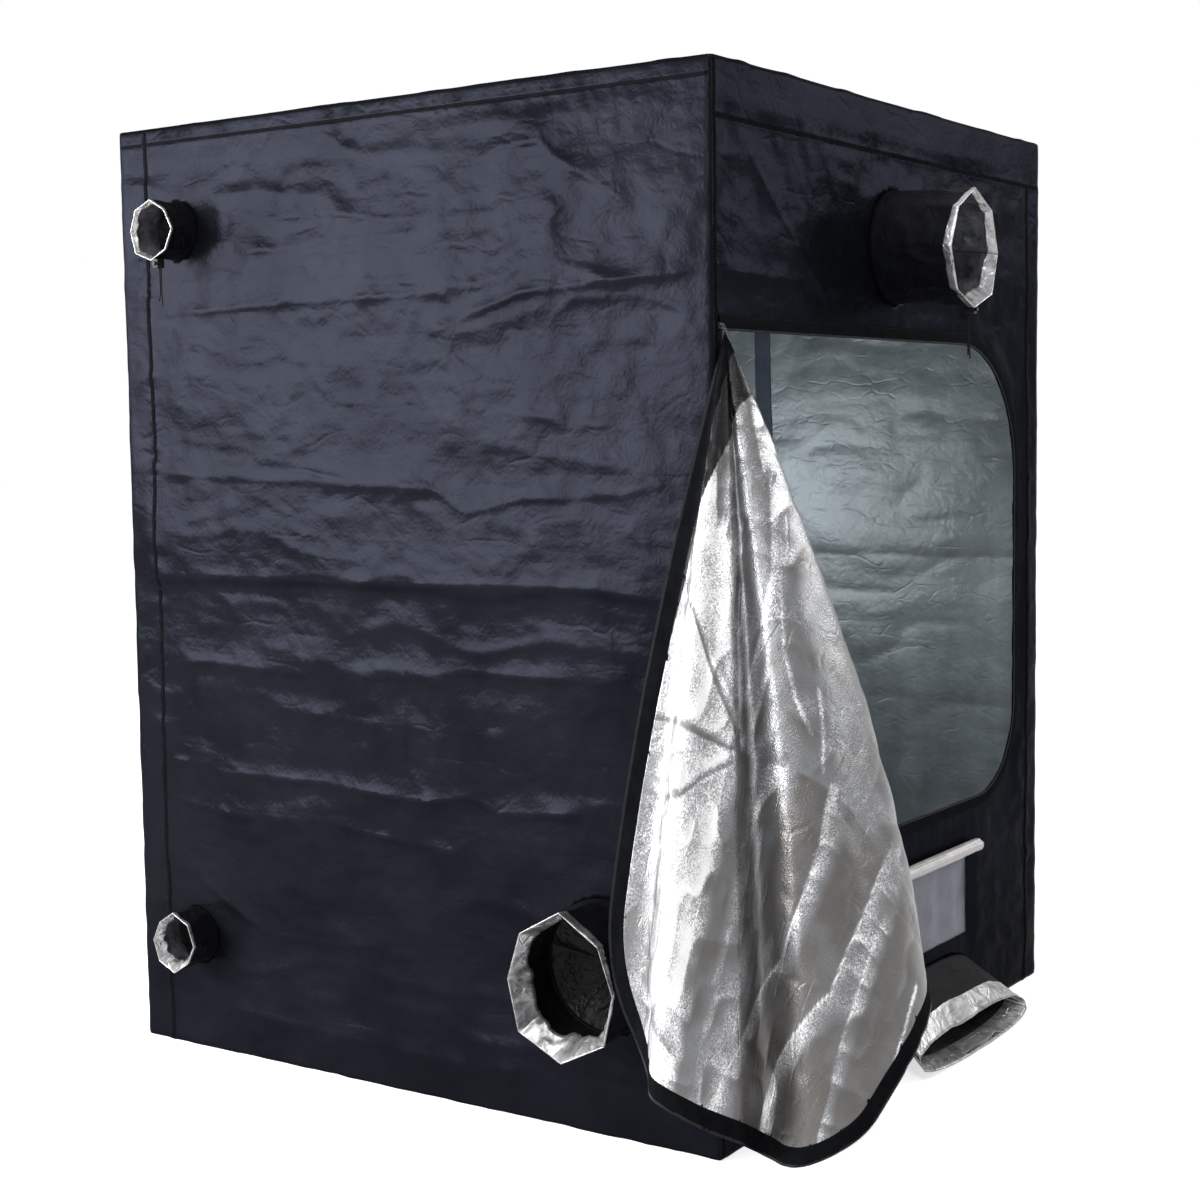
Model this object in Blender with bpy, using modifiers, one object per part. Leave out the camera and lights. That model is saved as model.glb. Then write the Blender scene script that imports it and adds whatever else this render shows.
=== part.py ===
"""Indoor grow tent with its door hung open: a steel pole frame inside a sewn cover.

Metres, +Z up. The front wall, with the door, faces -Y, and the left wall faces -X. The origin
is on the ground, in the middle of the base.
"""

import math
from collections import namedtuple

import bmesh
import bpy
from mathutils import Matrix, Vector

# Cover, outside
WIDTH = 1.524
DEPTH = 1.524
HEIGHT = 2.032
CLOTH = 0.0015
GAP = 0.0003

# Poles and their corner fittings
POLE_RADIUS = 0.0095
POLE_WALL = 0.001
SPIGOT_CLEARANCE = 0.0003
SPIGOT_LENGTH = 0.045
FITTING_SIZE = 0.026
FITTING_EDGE = 0.003
POST_SPLIT_HEIGHT = 1.01
SWAGE_LENGTH = 0.05
ROUND_SIDES = 12
SMOOTH_ANGLE_DEG = 40.0

# Roof bars, which hook over the side rails
BAR_RADIUS = 0.008
BAR_FROM_MIDDLE = 0.25
HOOK_THICKNESS = 0.002
HOOK_WIDTH = 0.03
HOOK_CLEARANCE = 0.0006
HOOK_LIP = 0.006
HOOK_BITE = 0.001
HOOK_ARC_STEPS = 10

# Floor tray
TRAY_RIM = 0.05
TRAY_CLEARANCE = 0.0005

# Door opening in the front wall, and the cloth flap that fills it
SEAM_FROM_CORNER = 0.030
OPENING_FROM_RIGHT = 0.150
OPENING_BOTTOM = 0.507
OPENING_FROM_TOP = 0.490
TOP_CORNER_RADIUS = 0.295
BOTTOM_CORNER_RADIUS = 0.205
CORNER_STEPS = 8
BINDING_DEPTH = 0.005
BINDING_WIDTH = 0.008
BINDING_LAP = 0.002
BINDING_SET_BACK = 0.022

# Zip tapes, on the frame side and on the flap
FRAME_TAPE_WIDTH = 0.028
FRAME_TAPE_THICKNESS = 0.0015
FLAP_TAPE_WIDTH = 0.040
FLAP_TAPE_GAP = 0.0009
FLAP_CLOTH = 0.001
FLAP_SEAM_GAP = 0.0008

# The hung flap. Seen from above, its cloth follows a wavy line that spreads with the distance
# from the top of the seam: sideways and forward, as shares of the spread, for equal turns from
# the flap's top edge round to the seam.
FLAP_SPREAD = 0.40
FLAP_SPREAD_REACH = 1.6
FLAP_FACING_DEG = 210.5
FLAP_SIDE_SHARES = (
    -0.60, -0.56, -0.39, -0.17, 0.03, 0.15, 0.35, 0.63,
    0.84, 0.93, 0.83, 0.65, 0.50, 0.30, 0.15, 0.0,
)
FLAP_FRONT_SHARES = (
    0.70, 0.89, 0.99, 1.0, 0.90, 0.75, 0.90, 0.87,
    0.67, 0.42, 0.18, 0.32, 0.05, 0.27, 0.03, 0.0,
)
# Small creases take up this share of the cloth, most of all along the way to the far corner
CREASE_SHARE = 0.09
CREASE_MIDDLE_DEG = 39.0
CREASE_WIDTH_DEG = 13.0
FLAP_RUN_STEPS = 22
FLAP_ROWS = 12
ROW_CROWDING = 1.7
FALL_STEPS = 24

# Zip sliders and their pulls
SLIDER_LENGTH = 0.014
SLIDER_HEIGHT = 0.011
SLIDER_DEPTH = 0.005
SLIDER_EDGE = 0.001
SLIDER_START = 0.012
SLIDER_CLEARANCE = 0.001
ARCH_RADIUS = 0.0009
ARCH_SPAN = 0.008
ARCH_RISE = 0.004
PULL_RING_RADIUS = 0.0024
PULL_RING_WIRE = 0.0007
PULL_RING_SIDES = 6
PULL_WIDTH = 0.008
PULL_LENGTH = 0.034
PULL_THICKNESS = 0.0014
PULL_BITE = 0.0004
PULL_LEAN_DEG = 28.0

# Vent window, low in the front wall
VENT_LEFT = -0.060
VENT_WIDTH = 0.405
VENT_BOTTOM = 0.197
VENT_HEIGHT = 0.180
MESH_THICKNESS = 0.001
MESH_BORDER = 0.012
ROLL_RADIUS = 0.019
ROLL_OVERHANG = 0.026
ROLL_TURNS = 3.0
ROLL_CLOTH = 0.0022
ROLL_PITCH = 0.0050
ROLL_STEPS_PER_TURN = 14

# Dark band sewn down the middle of the right wall, inside
BAND_WIDTH = 0.045
BAND_THICKNESS = 0.0015
BAND_END_MARGIN = 0.035

# Duct sleeves. Each mouth is a crumpled octagon: the distance of each of its corners from the
# centre is a share of the sleeve's radius.
RING_STEPS_PER_SIDE = 3
RING_SHARES = (0.0, 0.30, 0.60, 0.86, 1.0)
SMALL_RADIUS = 0.062
SMALL_REACH = 0.075
SMALL_DROOP = 0.004
SMALL_FROM_REAR = 0.170
SMALL_FROM_TOP = 0.226
SMALL_LOWER_HEIGHT = 0.254
SMALL_UPPER_SHARES = (1.04, 0.96, 1.05, 1.02, 0.97, 1.06, 1.03, 0.98)
SMALL_LOWER_SHARES = (1.02, 1.04, 1.10, 0.95, 1.0, 1.04, 1.08, 0.94)
LARGE_RADIUS = 0.132
LARGE_REACH = 0.150
LARGE_DROOP = 0.006
LARGE_FROM_FRONT = 0.256
LARGE_HEIGHT = 0.336
LARGE_SHARES = (0.90, 0.94, 1.08, 0.98, 0.92, 1.05, 1.10, 1.04)
FRONT_RADIUS = 0.118
FRONT_REACH = 0.180
FRONT_DROOP = 0.014
FRONT_FROM_MIDDLE = -0.026
FRONT_SLEEVE_FROM_TOP = 0.297
FRONT_SHARES = (0.98, 1.02, 1.06, 0.97, 1.0, 1.03, 1.0, 1.04)

# The wide sleeve at the foot of the front wall, which lies flattened on the ground
FLAT_FROM_MIDDLE = 0.150
FLAT_BASE_HALF_WIDTH = 0.215
FLAT_BASE_HALF_HEIGHT = 0.066
FLAT_BASE_HEIGHT = 0.098
FLAT_MOUTH_HALF_WIDTH = 0.285
FLAT_MOUTH_HALF_HEIGHT = 0.029
FLAT_MOUTH_HEIGHT = 0.0315
FLAT_MOUTH_SHIFT = -0.014
FLAT_COLLAR = 0.004
FLAT_REACH = 0.112
FLAT_LIP = 0.020
FLAT_STEPS = 28
FLAT_SQUARENESS = 0.75

# Drawstrings: two tails through a cord lock, under the mouth of two of the sleeves
CORD_RADIUS = 0.0015
CORD_SPACING = 0.0044
HEM_GAP = 0.0016
LOCK_WIDTH = 0.015
LOCK_DEPTH = 0.020
LOCK_HEIGHT = 0.018
LOCK_SLOT_CLEARANCE = 0.0006
LOCK_DROP = 0.004
LOCK_FORWARD_SHARE = 0.5
BUTTON_RADIUS = 0.0045
BUTTON_CLEARANCE = 0.0004
BUTTON_LENGTH = 0.009
BUTTON_PROUD = 0.005
LOCK_RING = 3
LOCK_STEP = 19
# Tail routes below the sleeve: sideways, outward and down from the hem
FRONT_TAIL_A = ((0.0, 0.0, 0.0), (0.0, 0.0, -0.05), (0.0, 0.0, -0.085), (-0.003, 0.001, -0.107))
FRONT_TAIL_B = ((0.0, 0.0, 0.0), (0.0, 0.0, -0.05), (0.0, 0.0, -0.085), (0.003, 0.001, -0.114))
LEFT_TAIL_A = ((0.0, 0.0, 0.0), (0.0, 0.0, -0.05), (0.0, 0.0, -0.078), (-0.004, 0.001, -0.092))
LEFT_TAIL_B = ((0.0, 0.0, 0.0), (0.0, 0.0, -0.05), (0.0, 0.0, -0.080), (0.004, 0.002, -0.104))
TAIL_POINT_SPACING = 0.0075

OVERRUN = 0.01
MERGE = 0.00001
ORIGIN = Vector((0.0, 0.0, 0.0))

LEFT = -WIDTH / 2
RIGHT = WIDTH / 2
FRONT = -DEPTH / 2
REAR = DEPTH / 2
SEAM_X = LEFT + SEAM_FROM_CORNER
OPENING_WIDTH = RIGHT - OPENING_FROM_RIGHT - SEAM_X
OPENING_TOP = HEIGHT - OPENING_FROM_TOP
OPENING_HEIGHT = OPENING_TOP - OPENING_BOTTOM
WALL_BOTTOM = CLOTH + GAP
WALL_TOP = HEIGHT - CLOTH - GAP
FITTING_INSET = CLOTH + GAP + FITTING_SIZE / 2
POLE_X = WIDTH / 2 - FITTING_INSET
POLE_Y = DEPTH / 2 - FITTING_INSET
POLE_LOW = CLOTH + GAP + FITTING_SIZE / 2
POLE_HIGH = HEIGHT - POLE_LOW
FITTING_REACH = FITTING_SIZE / 2 + GAP
SPIGOT_RADIUS = POLE_RADIUS - POLE_WALL - SPIGOT_CLEARANCE
ROLL_HEIGHT = VENT_BOTTOM + VENT_HEIGHT + ROLL_RADIUS
ROLL_Y = FRONT - GAP - ROLL_RADIUS

Port = namedtuple("Port", "name wall along height radius reach droop shares")
SLEEVES = (
    Port("sleeve_left_upper", "left", REAR - SMALL_FROM_REAR, HEIGHT - SMALL_FROM_TOP,
         SMALL_RADIUS, SMALL_REACH, SMALL_DROOP, SMALL_UPPER_SHARES),
    Port("sleeve_left_lower", "left", REAR - SMALL_FROM_REAR, SMALL_LOWER_HEIGHT,
         SMALL_RADIUS, SMALL_REACH, SMALL_DROOP, SMALL_LOWER_SHARES),
    Port("sleeve_left_large", "left", FRONT + LARGE_FROM_FRONT, LARGE_HEIGHT,
         LARGE_RADIUS, LARGE_REACH, LARGE_DROOP, LARGE_SHARES),
    Port("sleeve_front_upper", "front", FRONT_FROM_MIDDLE, HEIGHT - FRONT_SLEEVE_FROM_TOP,
         FRONT_RADIUS, FRONT_REACH, FRONT_DROOP, FRONT_SHARES),
)
PORTS = {port.name: port for port in SLEEVES}

# Each wall's sideways direction and its outward direction
SIDEWAYS = {"left": Vector((0.0, -1.0, 0.0)), "front": Vector((1.0, 0.0, 0.0))}
OUTWARD = {"left": Vector((-1.0, 0.0, 0.0)), "front": Vector((0.0, -1.0, 0.0))}


def clear_scene():
    for old in list(bpy.data.objects):
        bpy.data.objects.remove(old, do_unlink=True)
    for old in list(bpy.data.collections):
        bpy.data.collections.remove(old)


def make_collection(name):
    collection = bpy.data.collections.new(name)
    bpy.context.scene.collection.children.link(collection)
    return collection


def make_material(name, colour, roughness, metallic=0.0):
    material = bpy.data.materials.new(name)
    material.use_nodes = True
    shader = material.node_tree.nodes["Principled BSDF"]
    shader.inputs["Base Color"].default_value = (*colour, 1.0)
    shader.inputs["Roughness"].default_value = roughness
    shader.inputs["Metallic"].default_value = metallic
    material.diffuse_color = (*colour, 1.0)
    return material


def add_piece(name, data, material, origin=ORIGIN):
    """A named piece whose data is in world coordinates, with its object origin at `origin`."""
    data.transform(Matrix.Translation(-Vector(origin)))
    data.materials.append(material)
    piece = bpy.data.objects.new(name, data)
    piece.location = origin
    TENT.objects.link(piece)
    return piece


def mesh_from(name, build):
    mesh = bpy.data.meshes.new(name)
    work = bmesh.new()
    build(work)
    work.to_mesh(mesh)
    work.free()
    return mesh


def box_mesh(name, low, high):
    """A box between two opposite corners."""
    size = Vector(high) - Vector(low)
    middle = (Vector(high) + Vector(low)) / 2

    def build(work):
        matrix = Matrix.Translation(middle) @ Matrix.Diagonal((*size, 1.0))
        bmesh.ops.create_cube(work, size=1.0, matrix=matrix)

    return mesh_from(name, build)


def box(name, low, high, material):
    return add_piece(name, box_mesh(name, low, high), material)


def rod_mesh(name, start, end, radius, sides=ROUND_SIDES):
    """A solid round rod between two points."""
    way = Vector(end) - Vector(start)
    turn = way.to_track_quat("Z", "Y").to_matrix().to_4x4()
    middle = Matrix.Translation((Vector(start) + Vector(end)) / 2)

    def build(work):
        bmesh.ops.create_cone(work, cap_ends=True, segments=sides, radius1=radius,
                              radius2=radius, depth=way.length, matrix=middle @ turn)

    return mesh_from(name, build)


def helper(name, data):
    """An object that only cuts or joins a piece."""
    obj = bpy.data.objects.new(name, data)
    obj.hide_render = True
    obj.display_type = "WIRE"
    GUIDES.objects.link(obj)
    return obj


def combine(base, others, operation):
    """The base mesh with the other meshes joined to it or cut from it, one after another."""
    work = helper("work", base)
    tools = [helper("tool", other) for other in others]
    for tool in tools:
        step = work.modifiers.new("Combine", "BOOLEAN")
        step.operation = operation
        step.object = tool
    bpy.context.view_layer.update()
    depsgraph = bpy.context.evaluated_depsgraph_get()
    result = bpy.data.meshes.new_from_object(work.evaluated_get(depsgraph))
    for obj in [work] + tools:
        bpy.data.objects.remove(obj, do_unlink=True)
    result.materials.clear()
    return result


def welded(name, curve):
    """A closed mesh of a curve, with its caps welded on."""
    source = helper("curve", curve)
    bpy.context.view_layer.update()
    depsgraph = bpy.context.evaluated_depsgraph_get()
    mesh = bpy.data.meshes.new_from_object(source.evaluated_get(depsgraph))
    bpy.data.objects.remove(source, do_unlink=True)
    work = bmesh.new()
    work.from_mesh(mesh)
    bmesh.ops.remove_doubles(work, verts=work.verts[:], dist=MERGE)
    bmesh.ops.recalc_face_normals(work, faces=work.faces[:])
    work.to_mesh(mesh)
    work.free()
    mesh.name = name
    mesh.materials.clear()
    return mesh


def wall_mesh(name, outlines, wall, offset):
    """Flat cloth stood up in a wall's plane; every outline after the first is a hole."""
    curve = bpy.data.curves.new(name, "CURVE")
    curve.dimensions = "2D"
    curve.fill_mode = "BOTH"
    curve.extrude = CLOTH / 2
    for outline in outlines:
        spline = curve.splines.new("POLY")
        spline.points.add(len(outline) - 1)
        for point, place in zip(spline.points, outline):
            point.co = (place[0], place[1], 0.0, 1.0)
        spline.use_cyclic_u = True
    mesh = welded(name, curve)
    turn = Matrix.Rotation(math.pi / 2, 4, "X")
    if wall == "left":
        turn = Matrix.Rotation(math.pi / 2, 4, "Z") @ turn
    inward = -OUTWARD[wall]
    place = OUTWARD[wall] * (WIDTH if wall == "left" else DEPTH) / 2 + inward * offset
    mesh.transform(Matrix.Translation(place) @ turn)
    return mesh


def prism_mesh(name, outline, low_y, high_y):
    """A solid whose outline (x, z) runs straight from one y to another."""

    def build(work):
        base = work.faces.new([work.verts.new((x, low_y, z)) for x, z in outline])
        run = bmesh.ops.extrude_face_region(work, geom=[base])["geom"]
        moved = [item for item in run if isinstance(item, bmesh.types.BMVert)]
        bmesh.ops.translate(work, verts=moved, vec=(0.0, high_y - low_y, 0.0))
        bmesh.ops.recalc_face_normals(work, faces=work.faces[:])

    return mesh_from(name, build)


def rectangle(low_x, low_y, high_x, high_y):
    return [(low_x, low_y), (high_x, low_y), (high_x, high_y), (low_x, high_y)]


def arc(middle_x, middle_y, radius, start, end, steps):
    """Points along a circular arc, both ends included, with angles in radians."""
    angles = [start + (end - start) * step / steps for step in range(steps + 1)]
    return [(middle_x + radius * math.cos(a), middle_y + radius * math.sin(a)) for a in angles]


def tube_mesh(name, profile):
    """A round tube about Z: the profile (radius, height) runs down outside and up inside."""

    def build(work):
        corners = [work.verts.new((radius, 0.0, height)) for radius, height in profile]
        edges = [work.edges.new((corners[i - 1], corners[i])) for i in range(len(corners))]
        bmesh.ops.spin(work, geom=corners + edges, cent=ORIGIN, axis=(0.0, 0.0, 1.0),
                       angle=2 * math.pi, steps=ROUND_SIDES, use_merge=True, use_duplicate=False)
        bmesh.ops.remove_doubles(work, verts=work.verts[:], dist=MERGE)
        bmesh.ops.recalc_face_normals(work, faces=work.faces[:])

    return mesh_from(name, build)


def pole_profile(length, swaged):
    """A pole's outline; a swaged pole ends in a narrower neck that the next pole slides onto."""
    inner = POLE_RADIUS - POLE_WALL
    if not swaged:
        return [(POLE_RADIUS, length), (POLE_RADIUS, 0.0), (inner, 0.0), (inner, length)]
    neck_end = length + SWAGE_LENGTH
    neck_inner = SPIGOT_RADIUS - POLE_WALL
    return [
        (SPIGOT_RADIUS, neck_end), (SPIGOT_RADIUS, length), (POLE_RADIUS, length),
        (POLE_RADIUS, 0.0), (inner, 0.0), (inner, length - POLE_WALL),
        (neck_inner, length - POLE_WALL), (neck_inner, neck_end),
    ]


def pole(name, start, direction, length, swaged=False):
    """A pole from `start` along +X, +Y or +Z, as its own object turned into place."""
    mesh = tube_mesh(name, pole_profile(length, swaged))
    mesh.materials.append(STEEL)
    piece = bpy.data.objects.new(name, mesh)
    piece.location = start
    turns = {"x": (0.0, math.pi / 2, 0.0), "y": (-math.pi / 2, 0.0, 0.0), "z": (0.0, 0.0, 0.0)}
    piece.rotation_euler = turns[direction]
    TENT.objects.link(piece)
    return piece


def fitting_mesh():
    """A corner fitting at the origin, with spigots along +X, +Y and +Z."""
    half = FITTING_SIZE / 2
    hub = box_mesh("hub", (-half, -half, -half), (half, half, half))
    work = bmesh.new()
    work.from_mesh(hub)
    bmesh.ops.bevel(work, geom=work.edges[:], offset=FITTING_EDGE, segments=1, affect="EDGES")
    work.to_mesh(hub)
    work.free()
    end = half + GAP + SPIGOT_LENGTH
    ways = (Vector((1.0, 0.0, 0.0)), Vector((0.0, 1.0, 0.0)), Vector((0.0, 0.0, 1.0)))
    spigots = [rod_mesh("spigot", ORIGIN, way * end, SPIGOT_RADIUS) for way in ways]
    return combine(hub, spigots, "UNION")


def add_fittings():
    """One fitting at each corner; the top ones are turned over, so that they point down."""
    mesh = fitting_mesh()
    mesh.materials.append(FITTING_PLASTIC)
    quarter = math.pi / 2
    corners = {"front_left": (-1, -1), "front_right": (1, -1), "rear_right": (1, 1),
               "rear_left": (-1, 1)}
    for turn, (corner, (side, depth)) in enumerate(corners.items()):
        low = bpy.data.objects.new(f"corner_bottom_{corner}", mesh)
        low.location = (side * POLE_X, depth * POLE_Y, POLE_LOW)
        low.rotation_euler = (0.0, 0.0, turn * quarter)
        high = bpy.data.objects.new(f"corner_top_{corner}", mesh)
        high.location = (side * POLE_X, depth * POLE_Y, POLE_HIGH)
        high.rotation_euler = (math.pi, 0.0, (turn + 1) * quarter)
        TENT.objects.link(low)
        TENT.objects.link(high)


def add_poles():
    foot = POLE_LOW + FITTING_REACH
    head = POLE_HIGH - FITTING_REACH
    for side, x in (("left", -POLE_X), ("right", POLE_X)):
        for end, y in (("front", -POLE_Y), ("rear", POLE_Y)):
            pole(f"post_lower_{end}_{side}", (x, y, foot), "z", POST_SPLIT_HEIGHT - foot, True)
            start = POST_SPLIT_HEIGHT + GAP
            pole(f"post_upper_{end}_{side}", (x, y, start), "z", head - start)
    run_x = 2 * (POLE_X - FITTING_REACH)
    run_y = 2 * (POLE_Y - FITTING_REACH)
    for level, z in (("bottom", POLE_LOW), ("top", POLE_HIGH)):
        for end, y in (("front", -POLE_Y), ("rear", POLE_Y)):
            pole(f"rail_{level}_{end}", (-run_x / 2, y, z), "x", run_x)
        for side, x in (("left", -POLE_X), ("right", POLE_X)):
            pole(f"rail_{level}_{side}", (x, -run_y / 2, z), "y", run_y)


def hook_outline(side):
    """A hook over a side rail, in the plane across the rail; `side` is -1 left or 1 right."""
    inner = (POLE_RADIUS + HOOK_CLEARANCE) / math.cos(math.pi / (2 * HOOK_ARC_STEPS))
    outer = inner + HOOK_THICKNESS
    middle_x = side * POLE_X
    over = arc(middle_x, POLE_HIGH, outer, 0.0, math.pi, HOOK_ARC_STEPS)
    under = arc(middle_x, POLE_HIGH, inner, math.pi, 0.0, HOOK_ARC_STEPS)
    low = POLE_HIGH - HOOK_LIP
    left_lip = [(middle_x - outer, low), (middle_x - inner, low)]
    right_lip = [(middle_x + inner, low), (middle_x + outer, low)]
    return over + left_lip + under + right_lip


def add_roof_bars():
    """Each bar is one piece: a rod with a hook at each end."""
    reach = POLE_X - POLE_RADIUS - HOOK_CLEARANCE - HOOK_BITE
    for name, y in (("roof_bar_front", -BAR_FROM_MIDDLE), ("roof_bar_rear", BAR_FROM_MIDDLE)):
        rod = rod_mesh(name, (-reach, y, POLE_HIGH), (reach, y, POLE_HIGH), BAR_RADIUS)
        ends = (y - HOOK_WIDTH / 2, y + HOOK_WIDTH / 2)
        hooks = [prism_mesh("hook", hook_outline(side), *ends) for side in (-1, 1)]
        mesh = combine(rod, hooks, "UNION")
        add_piece(name, mesh, STEEL, (0.0, y, POLE_HIGH))


def port_ring(port, share):
    """One ring of points round a sleeve: round at the wall, a crumpled octagon at the mouth."""
    sideways, outward = SIDEWAYS[port.wall], OUTWARD[port.wall]
    middle = outward * port.reach * share - Vector((0.0, 0.0, port.droop * share ** 2))
    if port.wall == "left":
        middle += Vector((LEFT - GAP, port.along, port.height))
    else:
        middle += Vector((port.along, FRONT - GAP, port.height))
    sides = len(port.shares)
    step = 2 * math.pi / (sides * RING_STEPS_PER_SIDE)
    points = []
    for number in range(sides * RING_STEPS_PER_SIDE):
        corner, part = divmod(number, RING_STEPS_PER_SIDE)
        angle = number * step
        round_x, round_z = math.cos(angle), math.sin(angle)
        first, last = corner * RING_STEPS_PER_SIDE * step, (corner + 1) * RING_STEPS_PER_SIDE * step
        a, b = port.shares[corner], port.shares[(corner + 1) % sides]
        along = part / RING_STEPS_PER_SIDE
        flat_x = a * math.cos(first) * (1 - along) + b * math.cos(last) * along
        flat_z = a * math.sin(first) * (1 - along) + b * math.sin(last) * along
        x = round_x + (flat_x - round_x) * share
        z = round_z + (flat_z - round_z) * share
        points.append(middle + sideways * (x * port.radius) + Vector((0.0, 0.0, z * port.radius)))
    return points


def flat_sleeve_ring(share, collar=0.0):
    """One ring of the wide sleeve: an oval at the wall that flattens onto the ground."""
    half_width = FLAT_BASE_HALF_WIDTH + (FLAT_MOUTH_HALF_WIDTH - FLAT_BASE_HALF_WIDTH) * share
    half_height = FLAT_BASE_HALF_HEIGHT + (FLAT_MOUTH_HALF_HEIGHT - FLAT_BASE_HALF_HEIGHT) * share
    height = FLAT_BASE_HEIGHT + (FLAT_MOUTH_HEIGHT - FLAT_BASE_HEIGHT) * share
    middle_x = FLAT_FROM_MIDDLE + FLAT_MOUTH_SHIFT * share
    points = []
    for step in range(FLAT_STEPS):
        angle = 2 * math.pi * step / FLAT_STEPS
        c, s = math.cos(angle), math.sin(angle)
        x = half_width * math.copysign(abs(c) ** FLAT_SQUARENESS, c)
        z = half_height * math.copysign(abs(s) ** FLAT_SQUARENESS, s)
        out = collar + FLAT_REACH * share - FLAT_LIP * s * share
        points.append(Vector((middle_x + x, FRONT - GAP - out, height + z)))
    return points


def sleeve(name, rings):
    """A cloth tube lofted through its rings, thickened inwards."""

    def build(work):
        loops = [[work.verts.new(point) for point in ring] for ring in rings]
        for lower, upper in zip(loops, loops[1:]):
            for i in range(len(lower)):
                work.faces.new((lower[i - 1], lower[i], upper[i], upper[i - 1]))

    mesh = mesh_from(name, build)
    piece = add_piece(name, mesh, SLEEVE_CLOTH)
    cloth = piece.modifiers.new("Cloth", "SOLIDIFY")
    cloth.thickness = CLOTH
    cloth.offset = -1.0
    return piece


def add_sleeves():
    for port in SLEEVES:
        sleeve(port.name, [port_ring(port, share) for share in RING_SHARES])
    sewn_edge = [flat_sleeve_ring(0.0)]
    rest = [flat_sleeve_ring(share, FLAT_COLLAR) for share in RING_SHARES]
    sleeve("sleeve_front_lower", sewn_edge + rest)


def hole_for(ring, wall):
    """The hole in a wall behind a sleeve: its base ring, drawn in by the cloth's thickness."""
    middle = sum(ring, Vector()) / len(ring)
    across = "y" if wall == "left" else "x"
    outline = []
    for point in ring:
        way = (middle - point).normalized()
        inner = point + way * CLOTH
        outline.append((getattr(inner, across), inner.z))
    return outline


def run(start, end, steps, crowding=1.0):
    """Points along a straight run, without its end; crowding above 1 draws them to its start."""
    shares = [(step / steps) ** crowding for step in range(steps)]
    return [tuple(Vector(start).lerp(Vector(end), share)) for share in shares]


def door_edges(inset, start=0.0, run_steps=1):
    """The door's upper and lower edges, each from the seam out to the end of its corner arc."""
    right = OPENING_WIDTH - inset
    edges = []
    for radius, side in ((TOP_CORNER_RADIUS - inset, 1), (BOTTOM_CORNER_RADIUS - inset, -1)):
        level = -inset if side > 0 else inset - OPENING_HEIGHT
        corner = arc(right - radius, level - side * radius, radius, side * math.pi / 2, 0.0,
                     CORNER_STEPS)
        edges.append(run((start, level), corner[0], run_steps) + corner)
    return edges


def door_outline(inset, start=0.0, run_steps=1, side_steps=1):
    """The door's outline, from the top of the seam out along the zip and back to its foot."""
    upper, lower = door_edges(inset, start, run_steps)
    return upper[:-1] + run(upper[-1], lower[-1], side_steps, ROW_CROWDING) + lower[::-1]


def on_front(outline):
    """Door outline points as places on the front wall."""
    return [(SEAM_X + x, OPENING_TOP + y) for x, y in outline]


def add_walls():
    front_ring = port_ring(PORTS["sleeve_front_upper"], 0.0)
    vent = rectangle(VENT_LEFT, VENT_BOTTOM, VENT_LEFT + VENT_WIDTH, VENT_BOTTOM + VENT_HEIGHT)
    outlines = [rectangle(LEFT, WALL_BOTTOM, RIGHT, WALL_TOP), on_front(door_outline(0.0)), vent,
                hole_for(front_ring, "front"), hole_for(flat_sleeve_ring(0.0), "front")]
    add_piece("wall_front", wall_mesh("wall_front", outlines, "front", CLOTH / 2), COVER)

    low_y, high_y = FRONT + CLOTH + GAP, REAR - CLOTH - GAP
    holes = [hole_for(port_ring(port, 0.0), "left") for port in SLEEVES if port.wall == "left"]
    outlines = [rectangle(low_y, WALL_BOTTOM, high_y, WALL_TOP)] + holes
    add_piece("wall_left", wall_mesh("wall_left", outlines, "left", CLOTH / 2), COVER)

    box("wall_right", (RIGHT - CLOTH, low_y, WALL_BOTTOM), (RIGHT, high_y, WALL_TOP), COVER)
    box("wall_rear", (LEFT, REAR - CLOTH, WALL_BOTTOM), (RIGHT, REAR, WALL_TOP), COVER)
    box("roof_cover", (LEFT, FRONT, HEIGHT - CLOTH), (RIGHT, REAR, HEIGHT), COVER)
    box("floor_sheet", (LEFT, FRONT, 0.0), (RIGHT, REAR, CLOTH), COVER)

    inside = RIGHT - CLOTH - GAP
    box("wall_right_band", (inside - BAND_THICKNESS, -BAND_WIDTH / 2, WALL_BOTTOM + BAND_END_MARGIN),
        (inside, BAND_WIDTH / 2, WALL_TOP - BAND_END_MARGIN), ZIP_TAPE)


def add_floor_tray():
    """An open tray that just fits between the corner fittings."""
    half_x = POLE_X - FITTING_SIZE / 2 - TRAY_CLEARANCE
    half_y = POLE_Y - FITTING_SIZE / 2 - TRAY_CLEARANCE
    low = CLOTH + GAP
    body = box_mesh("floor_tray", (-half_x, -half_y, low), (half_x, half_y, low + TRAY_RIM))
    inner = (half_x - CLOTH, half_y - CLOTH)
    hollow = box_mesh("hollow", (-inner[0], -inner[1], low + CLOTH),
                      (inner[0], inner[1], low + TRAY_RIM + OVERRUN))
    add_piece("floor_tray", combine(body, [hollow], "DIFFERENCE"), TRAY_SHEET)


def smooth_place(points, number, t):
    """A place on the smooth curve through the points, a share t of the way past one of them."""
    ends = [2 * points[0] - points[1]] + points + [2 * points[-1] - points[-2]]
    a, b, c, d = ends[number:number + 4]
    straight = 2 * b + (c - a) * t
    bend = (2 * a - 5 * b + 4 * c - d) * t ** 2 + (3 * b - a - 3 * c + d) * t ** 3
    return (straight + bend) / 2


def spread(turn):
    """Sideways and forward spread of the hung cloth at a turn from its top edge, in radians."""
    shares = [Vector(pair) for pair in zip(FLAP_SIDE_SHARES, FLAP_FRONT_SHARES)]
    place = max(0.0, min(turn / (math.pi / 2), 1.0)) * (len(shares) - 1)
    number = min(int(place), len(shares) - 2)
    return smooth_place(shares, number, place - number) * FLAP_SPREAD


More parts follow.
